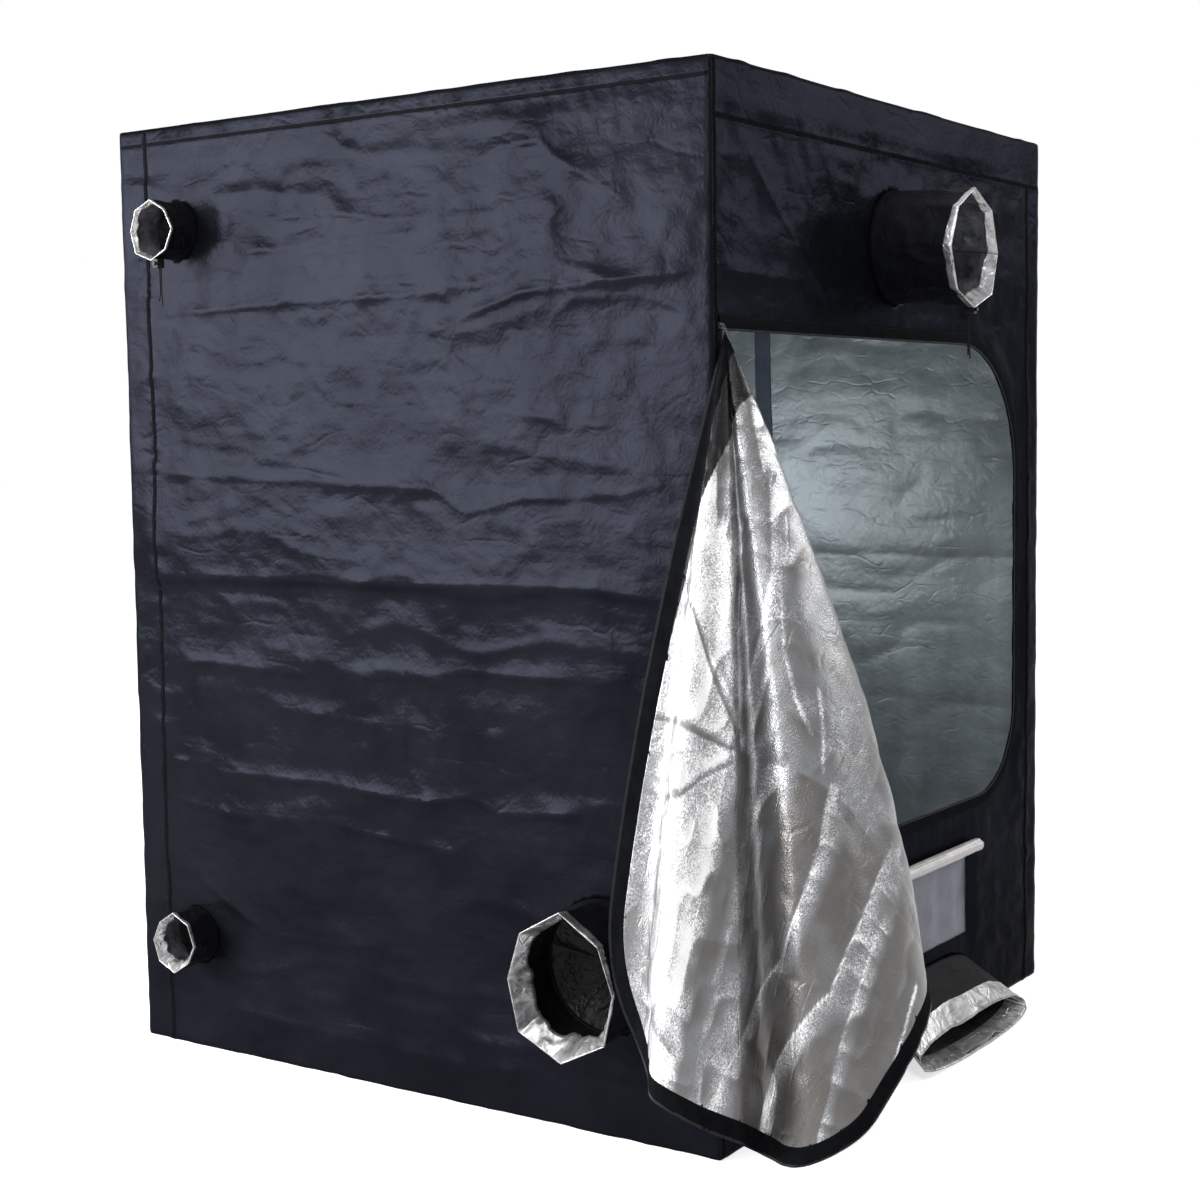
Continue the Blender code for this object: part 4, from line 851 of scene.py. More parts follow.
def side_extent(side_name):
    """The lowest and highest flat coordinates of a side."""
    if side_name in ("roof", "floor"):
        return np.array((LEFT, FRONT)), np.array((RIGHT, REAR))
    return np.array((LEFT, 0.0)), np.array((RIGHT, HEIGHT))


def side_points(side_name, flat):
    """Where flat points of a side are on the cover's sharp box."""
    side = SIDES[side_name]
    return (np.array(side.base) + np.outer(flat[:, 0], side.right)
            + np.outer(flat[:, 1], side.up))


def on_side(side_name, edges, lift):
    """A function that lays flat points on a side of the cover, over its folds."""
    def place(flat, uv=None):
        sharp = side_points(side_name, flat)
        places, normals = rounded(sharp)
        return places + normals * (cover_relief(side_name, flat, sharp, edges) + lift)[:, None]
    return place


# The net's even grid and its rows keep this share of the spacing clear of one another
GRID_TO_LOOP, GRID_TO_ROW, ROW_TO_HOLE = 0.55, 0.4, 0.3
SLIVER_AREA = 1e-10


def inner_points(side_name, loops, spacing):
    """Points within a side: an even grid, and rows of points along its seams and folds."""
    (_, low_v), (half_u, high_v) = side_extent(side_name)
    creased = [(seam, SEAM_ROWS) for seam in SEAMS[side_name]]
    creased += [(fold.points, FOLD_ROWS) for fold in FOLDS[side_name]]
    columns = np.arange(-half_u + spacing, half_u - spacing / 2, spacing)
    levels = np.arange(low_v + spacing, high_v - spacing / 2, spacing)
    net = np.stack(np.meshgrid(columns, levels), -1).reshape(-1, 2)
    clear = np.ones(len(net), bool)
    for loop in loops:
        clear &= to_outline(net, loop) > spacing * GRID_TO_LOOP
    for hole in loops[1:]:
        clear &= ~within(net, hole)
    for points, offsets in creased:
        distance, _, _ = to_line(net, points)
        clear &= ((distance > offsets[-1] + spacing * GRID_TO_ROW)
                  | (distance < offsets[0] - spacing * GRID_TO_ROW))
    net = net[clear]
    for points, offsets in creased:
        line = even_line(points, spacing, closed=False)
        for offset in offsets:
            row = line + leftward(line) * offset
            keep = ((np.abs(row[:, 0]) < half_u - spacing / 2) & (row[:, 1] > low_v + spacing / 2)
                    & (row[:, 1] < high_v - spacing / 2))
            for hole in loops[1:]:
                keep &= ~within(row, hole) & (to_outline(row, hole) > spacing * ROW_TO_HOLE)
            net = np.concatenate((net, row[keep]))
    return net


def triangle_net(loops, inner):
    """Flat points and triangles that fill the first loop, less the others."""
    points, links = [], []
    for loop in loops:
        first = len(points)
        points += [Vector(point) for point in loop]
        links += [(first + i, first + (i + 1) % len(loop)) for i in range(len(loop))]
    points += [Vector(point) for point in inner]
    corners, _, faces, _, _, _ = geometry.delaunay_2d_cdt(points, links, [], 0, 1e-7)
    flat = np.array([tuple(corner) for corner in corners])
    faces = np.array([face for face in faces if len(face) == 3])
    a, b, c = (flat[faces[:, i]] for i in range(3))
    area = (b - a)[:, 0] * (c - a)[:, 1] - (b - a)[:, 1] * (c - a)[:, 0]
    keep = np.abs(area) > SLIVER_AREA
    for hole in loops[1:]:
        keep &= ~within(flat[faces].mean(axis=1), hole)
    return flat, np.where((area < 0)[:, None], faces[:, ::-1], faces)[keep]


def panel(name, side_name, holes, edges, spacing, materials):
    """One side of the cover as a fine triangle net over its flat outline, with real folds."""
    (_, low_v), (half_u, high_v) = side_extent(side_name)
    outlines = [rectangle(-half_u, low_v, half_u, high_v)] + holes
    loops = [even_line(outline, spacing) for outline in outlines]
    flat, faces = triangle_net(loops, inner_points(side_name, loops, spacing))
    piece = mesh_piece(name, on_side(side_name, edges, 0.0)(flat), faces, materials, flat)
    return thicken(piece, CLOTH, -1.0, inner_slot=1)


def arc(middle_x, middle_y, radius, start, end, steps):
    return (middle_x, middle_y) + radius * on_circle(np.linspace(start, end, steps + 1))


def door_outline(inset, start=0.0):
    """The zip's line, from the top of the seam round to its foot, in the door's flat plane."""
    right = OPENING_WIDTH - inset
    top, low = TOP_CORNER_RADIUS - inset, BOTTOM_CORNER_RADIUS - inset
    upper = arc(right - top, -inset - top, top, math.pi / 2, 0.0, ARC_STEPS)
    lower = arc(right - low, inset - OPENING_HEIGHT + low, low, 0.0, -math.pi / 2, ARC_STEPS)
    return np.concatenate(([(start, -inset)], upper, lower, [(start, inset - OPENING_HEIGHT)]))


def rectangle(low_x, low_y, high_x, high_y):
    return [(low_x, low_y), (high_x, low_y), (high_x, high_y), (low_x, high_y)]


def flat_sleeve_ring(share, angles, collar=0.0):
    """Points round the wide sleeve: an oval at the wall that flattens onto the ground."""
    half_width, half_height, height = (
        base + (mouth - base) * share for base, mouth in zip(FLAT_BASE, FLAT_MOUTH))
    c, s = np.cos(angles), np.sin(angles)
    x = half_width * np.copysign(np.abs(c) ** FLAT_SQUARENESS, c)
    z = half_height * np.copysign(np.abs(s) ** FLAT_SQUARENESS, s)
    out = collar + FLAT_REACH * share - FLAT_LIP * s * share
    return np.stack((FLAT_FROM_MIDDLE + FLAT_MOUTH_SHIFT * share + x, FRONT - GAP - out,
                     height + z), 1)


def hole_outline(ring, wall):
    """The hole behind a sleeve in its wall's flat coordinates, drawn in by the cloth's depth."""
    flat = np.stack((-ring[:, 1] if wall == "left" else ring[:, 0], ring[:, 2]), 1)
    middle = flat.mean(0)
    return flat + unit(middle - flat) * CLOTH


HOLE_ANGLES = np.linspace(0.0, 2 * math.pi, 48, endpoint=False)


def cover_holes():
    """The outlines of each side's holes, in its flat coordinates."""
    door = door_outline(0.0) + (SEAM_X, OPENING_TOP)
    vent = rectangle(VENT_LEFT, VENT_BOTTOM, VENT_LEFT + VENT_WIDTH, VENT_BOTTOM + VENT_HEIGHT)
    holes = {side_name: [] for side_name in SIDES}
    holes["front"] = [door, vent, hole_outline(flat_sleeve_ring(0.0, HOLE_ANGLES), "front")]
    for port in PORTS.values():
        holes[port.wall].append(hole_outline(port_ring(port, 0.0, HOLE_ANGLES), port.wall))
    return holes


def held_edges(side_name, holes):
    """Every line of a side along which the cloth is held flat."""
    tape = door_outline(-FRAME_TAPE_WIDTH) + (SEAM_X, OPENING_TOP)
    return holes[side_name] + ([tape] if side_name == "front" else [])


def outline_area(outline):
    x, y = np.asarray(outline).T
    return abs(np.dot(x, np.roll(y, -1)) - np.dot(y, np.roll(x, -1))) / 2


NET_SPACINGS = {"front": 0.0095, "left": 0.0085, "right": 0.0095, "rear": 0.013, "roof": 0.013,
                "floor": 0.03}


def add_cover(holes):
    nodes = {"roof": "roof_cover", "floor": "floor_sheet"}
    for side_name, spacing in NET_SPACINGS.items():
        piece = panel(f"cover_{side_name}", side_name, holes[side_name],
                      held_edges(side_name, holes), spacing,
                      [ROOF if side_name == "roof" else COVER, MYLAR])
        finished(piece, "tent", "cover", nodes.get(side_name, f"wall_{side_name}"))
        cut = sum(outline_area(hole) for hole in holes[side_name])


# Strips and rows along a line

def ways(line):
    """Unit directions along a line of points, at each point."""
    return unit(np.gradient(line, axis=0))


def leftward(line):
    """Unit directions to the left of a flat line, at each point."""
    way = ways(line)
    return np.stack((-way[:, 1], way[:, 0]), 1)


def run_along(line):
    """How far along a line each of its points is."""
    return np.concatenate(([0.0], np.cumsum(np.linalg.norm(np.diff(line, axis=0), axis=1))))


def facing(way):
    """A function that gives every point the same normal."""
    return lambda flat: np.tile(way, (len(flat), 1))


def tape_strip(name, line, inner, outer, place, materials, steps=8):
    """A strip laid along a flat line, from one sideways offset to another."""
    across, run = leftward(line), run_along(line)
    offsets = np.linspace(inner, outer, steps + 1)
    flat = np.concatenate([line + across * offset for offset in offsets])
    uv = np.concatenate([np.stack((run, np.full(len(run), offset)), 1) for offset in offsets])
    return mesh_piece(name, place(flat, uv), grid_faces(len(line), steps + 1), materials, uv)


# Rows of blocks: the pitch, and each block's length, width and depth
TOOTH = (0.0030, (0.0017, 0.0050, 0.0022))
STITCH = (0.0062, (0.0038, 0.0008, 0.0008))
BLOCK_FACES = ((0, 1, 3, 2), (4, 6, 7, 5), (0, 4, 5, 1), (2, 3, 7, 6), (0, 2, 6, 4), (1, 5, 7, 3))
BLOCK_TOP_SHARE = 0.7
LOOK_AHEAD = 0.001
ROW_SPACING = 0.004
TAPE_SPACING = 0.007

# How far from the zip's line its teeth are, and the outer stitches from its tape's other edge
TEETH_DEPTH, STITCH_TO_EDGE = 0.0015, 0.003


def blocks(line, kind, place, normal):
    """Corners of small tapered blocks in a row on a flat line: zip teeth, or stitches."""
    pitch, size = kind
    run = run_along(line)
    spots = np.arange(pitch, run[-1] - pitch, pitch)
    flat = np.stack([np.interp(spots, run, line[:, i]) for i in range(2)], 1)
    middle, ahead = place(flat), place(flat + ways(flat) * LOOK_AHEAD)
    along, up = unit(ahead - middle), normal(flat)
    across = unit(np.cross(up, along))
    half = np.array(size) / 2
    corners = []
    for sx, sy, sz in itertools.product((-1, 1), repeat=3):
        narrow = BLOCK_TOP_SHARE if sz > 0 else 1.0
        corners.append(middle + along * sx * half[0] * narrow + across * sy * half[1] * narrow
                       + up * sz * half[2])
    return np.stack(corners, 1).reshape(-1, 3)


def block_piece(name, rows, material):
    points = np.concatenate(rows)
    faces = [[8 * number + corner for corner in face]
             for number in range(len(points) // 8) for face in BLOCK_FACES]
    piece = mesh_piece(name, points, faces, [material])
    piece.data.shade_flat()
    return piece


def zip_rows(start, body, place, stitch_place, normal, depths):
    """A zip's teeth beside the opening's line, and rows of stitches in its tape."""
    teeth_depth, *stitch_depths = depths
    line = even_line(door_outline(teeth_depth), ROW_SPACING, closed=False)
    finished(block_piece(f"{start}_zip_teeth", [blocks(line, TOOTH, place, normal)], TEETH),
             body, "tape")
    rows = [blocks(even_line(door_outline(depth), ROW_SPACING, closed=False), STITCH,
                   stitch_place, normal) for depth in stitch_depths]
    finished(block_piece(f"{start}_stitches", rows, THREAD), body, "tape")


# The dark strip on each seam stands in for the shade of its fold: its width, depth, lift and point
# spacing
SEAM_SHADE_WIDTH, SEAM_SHADE_DEPTH, SEAM_SHADE_LIFT, SEAM_SHADE_SPACING = 0.007, 0.0008, 0.0009, 0.008
SEAM_STITCH_OFFSET, SEAM_STITCH_LIFT = 0.0058, 0.0003


def add_seams(holes):
    """A dark strip over every seam of the cover, painted shade of the seam's fold, with a row of
    stitches on each side.
    """
    rows = []
    for side_name, seams in SEAMS.items():
        edges = held_edges(side_name, holes)
        for number, seam in enumerate(seams):
            line = even_line(seam, SEAM_SHADE_SPACING, closed=False)[1:-1]
            seam_shade_strip = tape_strip(f"piping_{side_name}_{number}", line, -SEAM_SHADE_WIDTH / 2,
                                SEAM_SHADE_WIDTH / 2, on_side(side_name, edges, SEAM_SHADE_LIFT), [TAPE],
                                4)
            thicken(seam_shade_strip, SEAM_SHADE_DEPTH)
            finished(seam_shade_strip, "tent", "tape")
            for offset in (-SEAM_STITCH_OFFSET, SEAM_STITCH_OFFSET):
                rows.append(blocks(line + leftward(line)[0] * offset, STITCH,
                                   on_side(side_name, edges, SEAM_STITCH_LIFT),
                                   facing(outward(SIDES[side_name]))))
    finished(block_piece("cover_stitches", rows, THREAD), "tent", "cover")


# The hung flap and the zip

def spread(turn):
    """Sideways and forward spread of the hung cloth for each turn from its top edge."""
    shares = np.stack((FLAP_SIDE_SHARES, FLAP_FRONT_SHARES), 1)
    place = np.clip(turn / (math.pi / 2), 0.0, 1.0) * (len(shares) - 1)
    number = np.minimum(place.astype(int), len(shares) - 2)
    ends = np.concatenate(([2 * shares[0] - shares[1]], shares, [2 * shares[-1] - shares[-2]]))
    return smooth_curve(*(ends[number + i] for i in range(4)),
                        (place - number)[:, None]) * FLAP_SPREAD


def hung(flat):
    """Where points of the flat flap hang: x from the seam, and down from its top edge."""
    x, down = np.maximum(flat[:, 0], 0.0), np.maximum(-flat[:, 1], 0.0)
    turn = np.arctan2(down, x)
    past_middle = (np.degrees(turn) - CREASE_MIDDLE_DEG) / CREASE_WIDTH_DEG
    length = np.hypot(x, down) * (1 - CREASE_SHARE * np.exp(-past_middle ** 2))
    way = spread(turn)

    def opened(distance):
        return np.sin(math.pi / 2 * distance / FLAP_SPREAD_REACH)

    fall = np.zeros(len(flat))
    for step in range(FALL_STEPS):
        rise = opened(length * (step + 1) / FALL_STEPS) - opened(length * step / FALL_STEPS)
        level = (length / FALL_STEPS) ** 2 - (np.linalg.norm(way, axis=1) * rise) ** 2
        fall += np.sqrt(np.maximum(level, 0.0))
    facing_angle = math.radians(FLAP_FACING_DEG)
    forward = np.array((math.cos(facing_angle), math.sin(facing_angle), 0.0))
    sideways = np.array((-forward[1], forward[0], 0.0))
    away = np.outer(way[:, 0], sideways) + np.outer(way[:, 1], forward)
    return FLAP_TOP + away * opened(length)[:, None] - np.outer(fall, (0.0, 0.0, 1.0))


def hung_normal(flat, reach=0.004):
    """The hung cloth's direction, out of its lining."""
    flat = np.stack((np.maximum(flat[:, 0], 2 * reach), np.minimum(flat[:, 1], -2 * reach)), 1)
    along = hung(flat + (reach, 0.0)) - hung(flat - (reach, 0.0))
    down = hung(flat + (0.0, reach)) - hung(flat - (0.0, reach))
    return unit(np.cross(along, down) + 1e-12)


# The lining's noise, as heights and the sizes of its lumps, and where its edges calm it
FLAP_WARP, FLAP_WARP_SIZE = 0.02, 0.13
FLAP_CREASES = ((0.0012, 0.14), (0.0007, 0.06))
CALM_AT_SEAM, CALM_AT_TOP = 0.12, 0.06


def flap_relief(flat):
    """Packing folds and crumples of the hung lining, weaker at its edges."""
    warped = flat + FLAP_WARP * np.stack([bumps(flat, FLAP_WARP_SIZE, FLAP_SEED + i)
                                          for i in range(2)], 1)
    relief = sum(height * ridges(warped, size, FLAP_SEED + 2 + number)
                 for number, (height, size) in enumerate(FLAP_CREASES))
    for number, fold in enumerate(FLAP_FOLDS):
        relief += fold_height(flat, fold, FLAP_FOLD_SEED + number)
    ends = smooth(flat[:, 0] / CALM_AT_SEAM) * 0.9 + 0.1
    top = smooth(-flat[:, 1] / CALM_AT_TOP) * 0.7 + 0.3
    return relief * ends * top


# How far the borders of the foil's painted tones waver, how its folds' slopes paint shade and
# highlight on it, and how its small lumps change its tone
TURN_WAVERS = ((1.5, 0.05), (1.0, 0.02))
DOWN_WAVER, PACK_FOLD_WAVER = 0.004, 0.002
TONE_STEP, TWO_STEPS = np.array((0.0015, -0.0035)), 0.0076
PAINTED_SHADE_PER_SLOPE, MOST_DARKER, MOST_BRIGHTER = 3.0, -0.30, 0.22
TONE_LUMP, TONE_LUMP_SIZE, DULLEST = 0.08, 0.035, 0.07
BAND_EDGE, BAND_BEYOND = 0.004, 1.2


def flap_painted_light(flat):
    """The foil's painted light, from dull warm shade to mirror-bright reflection, by its folds and
    bands.
    """
    turn = np.degrees(np.arctan2(-flat[:, 1], np.maximum(flat[:, 0], 1e-6)))
    wobble = sum(degrees * bumps(flat, size, TONE_SEED + number)
                 for number, (degrees, size) in enumerate(TURN_WAVERS))
    inner = np.interp(turn + wobble, *zip(*INNER_PAINTED_LIGHT))
    outer = np.interp(-flat[:, 1] + DOWN_WAVER * wobble, *zip(*OUTER_PAINTED_LIGHT))
    tone = np.where(flat[:, 0] + PACK_FOLD_WAVER * wobble > PACK_FOLD, outer, inner)
    for points, half_width, value in FLAP_PAINTED_BANDS:
        distance, _, _ = to_line(flat, points)
        sharp = np.clip(1 - distance / BAND_EDGE, 0.0, 1.0)
        grainy = np.clip(BAND_BEYOND + distance / half_width, 0.0, 1.0)
        tone = tone + (value - tone) * np.where(distance > 0, sharp, grainy)
    # Painted shade and painted highlight from each fold's slope, as if lit from one side
    slope = (flap_relief(flat + TONE_STEP) - flap_relief(flat - TONE_STEP)) / TWO_STEPS
    change = np.clip(PAINTED_SHADE_PER_SLOPE * slope, MOST_DARKER, MOST_BRIGHTER)
    tone = tone + change * np.clip(tone * 2.0, 0.15, 1.0)
    lumps = TONE_LUMP * bumps(flat, TONE_LUMP_SIZE, TONE_SEED + 2)
    return np.where(-flat[:, 1] < guard_depth(flat[:, 0]), 0.0,
                    np.clip(tone + lumps, DULLEST, 1.0))


# How far the lining lies under the tape, how much farther out the guard starts, how deep it is
# at its far end, and how far it goes past the foil's dark edge
LINING_OVERLAP, GUARD_OVERLAP, GUARD_PAST_EDGE = 0.004, 0.006, 0.002
GUARD_LEAST_DEPTH = FLAP_TAPE_WIDTH - 0.006
GUARD_WIDTH, GUARD_COLUMNS, GUARD_ROWS = 0.5, 160, 24

# Depths of the flap's pieces, and how far each lies off the lining's folds
LINING_DEPTH, FLAP_TAPE_DEPTH, GUARD_CLOTH_DEPTH = 0.0009, 0.0016, 0.0005
TAPE_LIFT, TEETH_LIFT, STITCH_LIFT, GUARD_LIFT = 0.0004, 0.0006, 0.0014, 0.0016


def guard_depth(x):
    """How far down from the flap's edge the cloth that guards the zip reaches."""
    return GUARD_LEAST_DEPTH + GUARD_EXTRA * np.exp(-(x / GUARD_REACH) ** 2.5)


def on_flap(lift):
    """A function that lays flat points over the hung lining's folds."""
    def place(flat, uv=None):
        return hung(flat) + hung_normal(flat) * (flap_relief(flat) + lift)[:, None]
    return place


def between(xs, upper, lower, shares):
    """Flat points in rows from an upper edge to a lower one."""
    ys = upper[None, :] + (lower - upper)[None, :] * shares[:, None]
    return np.stack((np.tile(xs, len(shares)), ys.ravel()), 1)


def add_lining():
    """The hung flap's silver lining, with the cover's cloth at its back."""
    inset = FLAP_TAPE_WIDTH - LINING_OVERLAP
    right, radius = OPENING_WIDTH - inset, TOP_CORNER_RADIUS - inset
    straight = right - radius
    bend = FLAP_COLUMNS // 4
    xs = np.concatenate((np.linspace(0.0, straight, FLAP_COLUMNS - bend, endpoint=False),
                         straight + radius * np.sin(np.linspace(0.0, math.pi / 2, bend))))

    def level(corner_radius):
        past = np.clip(xs - (right - corner_radius), 0.0, corner_radius)
        return corner_radius - np.sqrt(np.maximum(corner_radius ** 2 - past ** 2, 0.0))

    flat = between(xs, -inset - level(radius),
                   inset - OPENING_HEIGHT + level(BOTTOM_CORNER_RADIUS - inset),
                   np.linspace(0.0, 1.0, FLAP_ROWS) ** 1.25)
    # The lining's tone is its painted light and shade
    piece = mesh_piece("flap_lining", on_flap(0.0)(flat), grid_faces(len(xs), FLAP_ROWS),
                       [SILVER, COVER], flat, tone=flap_painted_light(flat))
    thicken(piece, LINING_DEPTH, inner_slot=1, rim_slot=1)
    finished(piece, "door", "lining", "door_flap")
    area = outline_area(door_outline(inset))


def add_guard():
    """The dark cloth over the zip at the flap's top."""
    xs = GUARD_WIDTH * np.linspace(0.0, 1.0, GUARD_COLUMNS) ** 1.3
    start = FLAP_TAPE_WIDTH - LINING_OVERLAP - GUARD_OVERLAP
    flat = between(xs, np.full(len(xs), -start), -(guard_depth(xs) + GUARD_PAST_EDGE),
                   np.linspace(0.0, 1.0, GUARD_ROWS))
    guard = mesh_piece("flap_zip_guard", on_flap(GUARD_LIFT)(flat),
                       grid_faces(len(xs), GUARD_ROWS), [TAPE], flat)
    thicken(guard, GUARD_CLOTH_DEPTH)
    finished(guard, "door", "tape")


def add_flap_tape():
    """The zip tape round the hung flap, with its teeth and stitches."""
    line = even_line(door_outline(0.0), TAPE_SPACING, closed=False)
    tape = tape_strip("flap_zip_tape", line, 0.0, -FLAP_TAPE_WIDTH, on_flap(TAPE_LIFT), [TAPE])
    thicken(tape, FLAP_TAPE_DEPTH)
    finished(tape, "door", "tape", "door_flap_zip_tape")
    zip_rows("flap", "door", on_flap(TEETH_LIFT), on_flap(STITCH_LIFT), hung_normal,
             (TEETH_DEPTH, 0.012, FLAP_TAPE_WIDTH - STITCH_TO_EDGE))


# The tape on the wall: it swells between its edges, and its teeth stand on it
FRAME_TAPE_LIFT, FRAME_TAPE_SWELL, FRAME_TAPE_WAVER, FRAME_TAPE_LEAST = (
    0.0015, 0.0012, 0.0005, 0.0006)
FRAME_TAPE_DEPTH, FRAME_TEETH_LIFT = 0.0009, 0.0022


def add_frame_tape():
    """The zip tape round the door opening, with its teeth and stitches."""
    def at_lift(flat, lift):
        return np.stack((SEAM_X + flat[:, 0], FRONT - GAP - lift, OPENING_TOP + flat[:, 1]), 1)

    def swelling(flat, uv):
        across = uv[:, 1] / FRAME_TAPE_WIDTH
        lift = (FRAME_TAPE_LIFT + FRAME_TAPE_SWELL * np.sin(np.pi * across) ** 2
                + FRAME_TAPE_WAVER * bumps(uv, (0.05, 0.01), FRAME_TAPE_SEED))
        return at_lift(flat, np.maximum(lift, FRAME_TAPE_LEAST))

    def on_tape(flat):
        return at_lift(flat, np.full(len(flat), FRAME_TEETH_LIFT))

    line = even_line(door_outline(0.0, -FRAME_TAPE_WIDTH / 2), TAPE_SPACING, closed=False)
    tape = tape_strip("frame_zip_tape", line, 0.0, FRAME_TAPE_WIDTH, swelling, [TAPE])
    thicken(tape, FRAME_TAPE_DEPTH)
    finished(tape, "tent", "tape", "door_frame_zip_tape")
    zip_rows("frame", "tent", on_tape, on_tape, facing((0.0, -1.0, 0.0)),
             (-TEETH_DEPTH, -0.0145, STITCH_TO_EDGE - FRAME_TAPE_WIDTH))


# Sleeves in cloth

SLEEVE_ANGLES = np.linspace(0.0, 2 * math.pi, 144, endpoint=False)
SLEEVE_RINGS = 24
LIP_CLOTH_DEPTH, SOCK_CLOTH_DEPTH = 0.0004, 0.0008

# How far a sleeve's cloth puffs out, as a share of its radius, and the sizes of its crumples
SLEEVE_PUFF_SHARE, SLEEVE_CRUMPLE_SIZE = 0.035, (0.55, 0.55, 0.9)


def ring_piece(name, rings, uv, materials, slots=None):
    """A tube through rings of points."""
    faces = grid_faces(len(rings[0]), len(rings), closed=True)
    return mesh_piece(name, np.concatenate(rings), faces, materials, np.concatenate(uv), slots)


def ring_uv(angles, radius, level):
    return np.stack((angles * radius, np.full(len(angles), level)), 1)


def by_quarters(widths, angles):
    """A width at each angle from the ones at the mouth's right, top, left and bottom."""
    return np.interp(angles, np.arange(5) * math.pi / 2, widths + widths[:1])


def sleeve_lift(port, number, angles, share):
    """How far a sleeve's loose cloth stands out of its ring, round it and along it."""
    around = np.column_stack((on_circle(angles), share))
    return np.sin(math.pi * share) * port.radius * SLEEVE_PUFF_SHARE * crumple(
        around, SLEEVE_CRUMPLE_SIZE, SLEEVE_SEED + 5 * number)


# A lip's rows: inside the mouth, by shares of its width there; over the mouth's edge, by how far
# they lie off the sleeve and past its end; and outside it, by shares of the cuff's width
LIP_INSIDE_SHARES = np.linspace(1.0, 0.12, 7)
LIP_INSET = 0.0006
LIP_EDGE = ((-CLOTH - 0.0004, 0.0012), (-CLOTH / 2, 0.0026), (0.0004, 0.0014))
CUFF_SHARES, CUFF_LIFT = (0.3, 0.6, 0.85, 1.0), 0.0009
LIP_FOLD, LIP_FOLD_SIZE, LIP_FOLD_START = 0.0016, (0.3, 0.3, 0.5), 0.01


def add_lip(port, number, angles):
    """The silver lining at a sleeve's mouth: slanted in, over the edge, and a cuff outside."""
    circle = on_circle(angles)
    uneven = 0.9 + 0.25 * bumps(circle, 0.30, LIP_SEED + number)
    turned, cuff = by_quarters(port.turned, angles) * uneven, by_quarters(port.cuff, angles)
    rows = [(turned * step, -CLOTH - LIP_INSET - LIP_SLANT * turned * step, 0.0)
            for step in LIP_INSIDE_SHARES]
    rows += [(turned * 0.0, away_by, past) for away_by, past in LIP_EDGE]
    rows += [(cuff * step, CUFF_LIFT * (1.3 - step), 0.0) for step in CUFF_SHARES]
    mouth = port_ring(port, 1.0, angles)
    away = unit(mouth - mouth.mean(0))
    rings, uv = [], []
    for row, (depth, away_by, past) in enumerate(rows):
        share = 1 - depth / port.reach
        ring = np.array([port_ring(port, s, angles[i:i + 1])[0] for i, s in enumerate(share)])
        around = np.column_stack((circle, depth * 12))
        fold = LIP_FOLD * ridges(around, LIP_FOLD_SIZE, LIP_SEED + 4 + number) * np.minimum(
            depth / LIP_FOLD_START, 1.0)
        fold = np.where(away_by < 0, -np.abs(fold), fold * 0.3)
        lift = away_by + fold + sleeve_lift(port, number, angles, share)
        rings.append(ring + away * lift[:, None] + outward(SIDES[port.wall]) * past)
        uv.append(ring_uv(angles, port.radius, row * 0.004))
    lip = ring_piece(port.name + "_lip", rings, uv, [LIP])
    thicken(lip, LIP_CLOTH_DEPTH)
    finished(lip, "tent", "lining")


# The sock: its rings and pleats, how far it starts from the wall and from the sleeve, how much
# of its radius it draws in, the height of its pleats and lumps, and how far its end droops
SOCK_RINGS, SOCK_PLEATS = 30, 7
SOCK_START, SOCK_CLEARANCE, SOCK_CLOSING_SHARE = -0.004, 0.0014, 0.94
SOCK_PLEAT, SOCK_LUMP, SOCK_DROOP = 0.002, 0.004, 0.012


def add_sock(port, number, angles):
    """The sleeve's inner end, drawn shut behind the wall in gathered pleats."""
    rings, uv = [], []
    circle = on_circle(angles)
    pleat = np.sin(angles * SOCK_PLEATS + 3.5 * bumps(circle, 0.5, SOCK_SEED + number))
    for share in np.linspace(0.0, 1.0, SOCK_RINGS):
        spot = np.column_stack((circle * (1 - 0.9 * share), np.full(len(angles), share)))
        radius = (port.radius - CLOTH - SOCK_CLEARANCE) * (1 - SOCK_CLOSING_SHARE * share)
        folds = SOCK_PLEAT * pleat + SOCK_LUMP * bumps(spot, 0.6, SOCK_SEED + 4 + number)
        inward = (SOCK_START + SOCK_DEPTH * (1 - (1 - share) ** 1.6)
                  + math.sin(math.pi * share ** 0.7) * folds)
        rings.append(np.stack((LEFT + CLOTH + inward, port.along - np.cos(angles) * radius,
                               port.height + np.sin(angles) * radius - SOCK_DROOP * share), 1))
        uv.append(ring_uv(angles, port.radius, share * port.radius))
    sock = ring_piece(port.name + "_inner", rings, uv, [SLEEVE_IN])
    thicken(sock, SOCK_CLOTH_DEPTH)
    finished(sock, "tent", "sleeve")


def add_sleeve(port, number, angles):
    """A sleeve as a fine gathered tube."""
    rings, uv = [], []
    for share in np.linspace(0.0, 1.0, SLEEVE_RINGS):
        ring = port_ring(port, share, angles)
        lift = sleeve_lift(port, number, angles, np.full(len(angles), share))
        rings.append(ring + unit(ring - ring.mean(0)) * lift[:, None])
        uv.append(ring_uv(angles, port.radius, share * port.reach))
    inside = SATIN_WITH_PAINTED_LIGHT if port.radius < WIDE else SLEEVE_IN
    piece = ring_piece(port.name + "_cloth", rings, uv, [SLEEVE_OUT, inside])
    thicken(piece, CLOTH, -1.0, inner_slot=1)
    finished(piece, "tent", "sleeve", port.name)


# The wide sleeve's flat cloth, its silver end from this share on, and its crumples
FLAT_CUFF_FROM = 0.6
FLAT_CRUMPLE, FLAT_CRUMPLE_SIZE = 0.007, (0.11, 0.08, 0.6)
ABOVE_GROUND = 0.0008


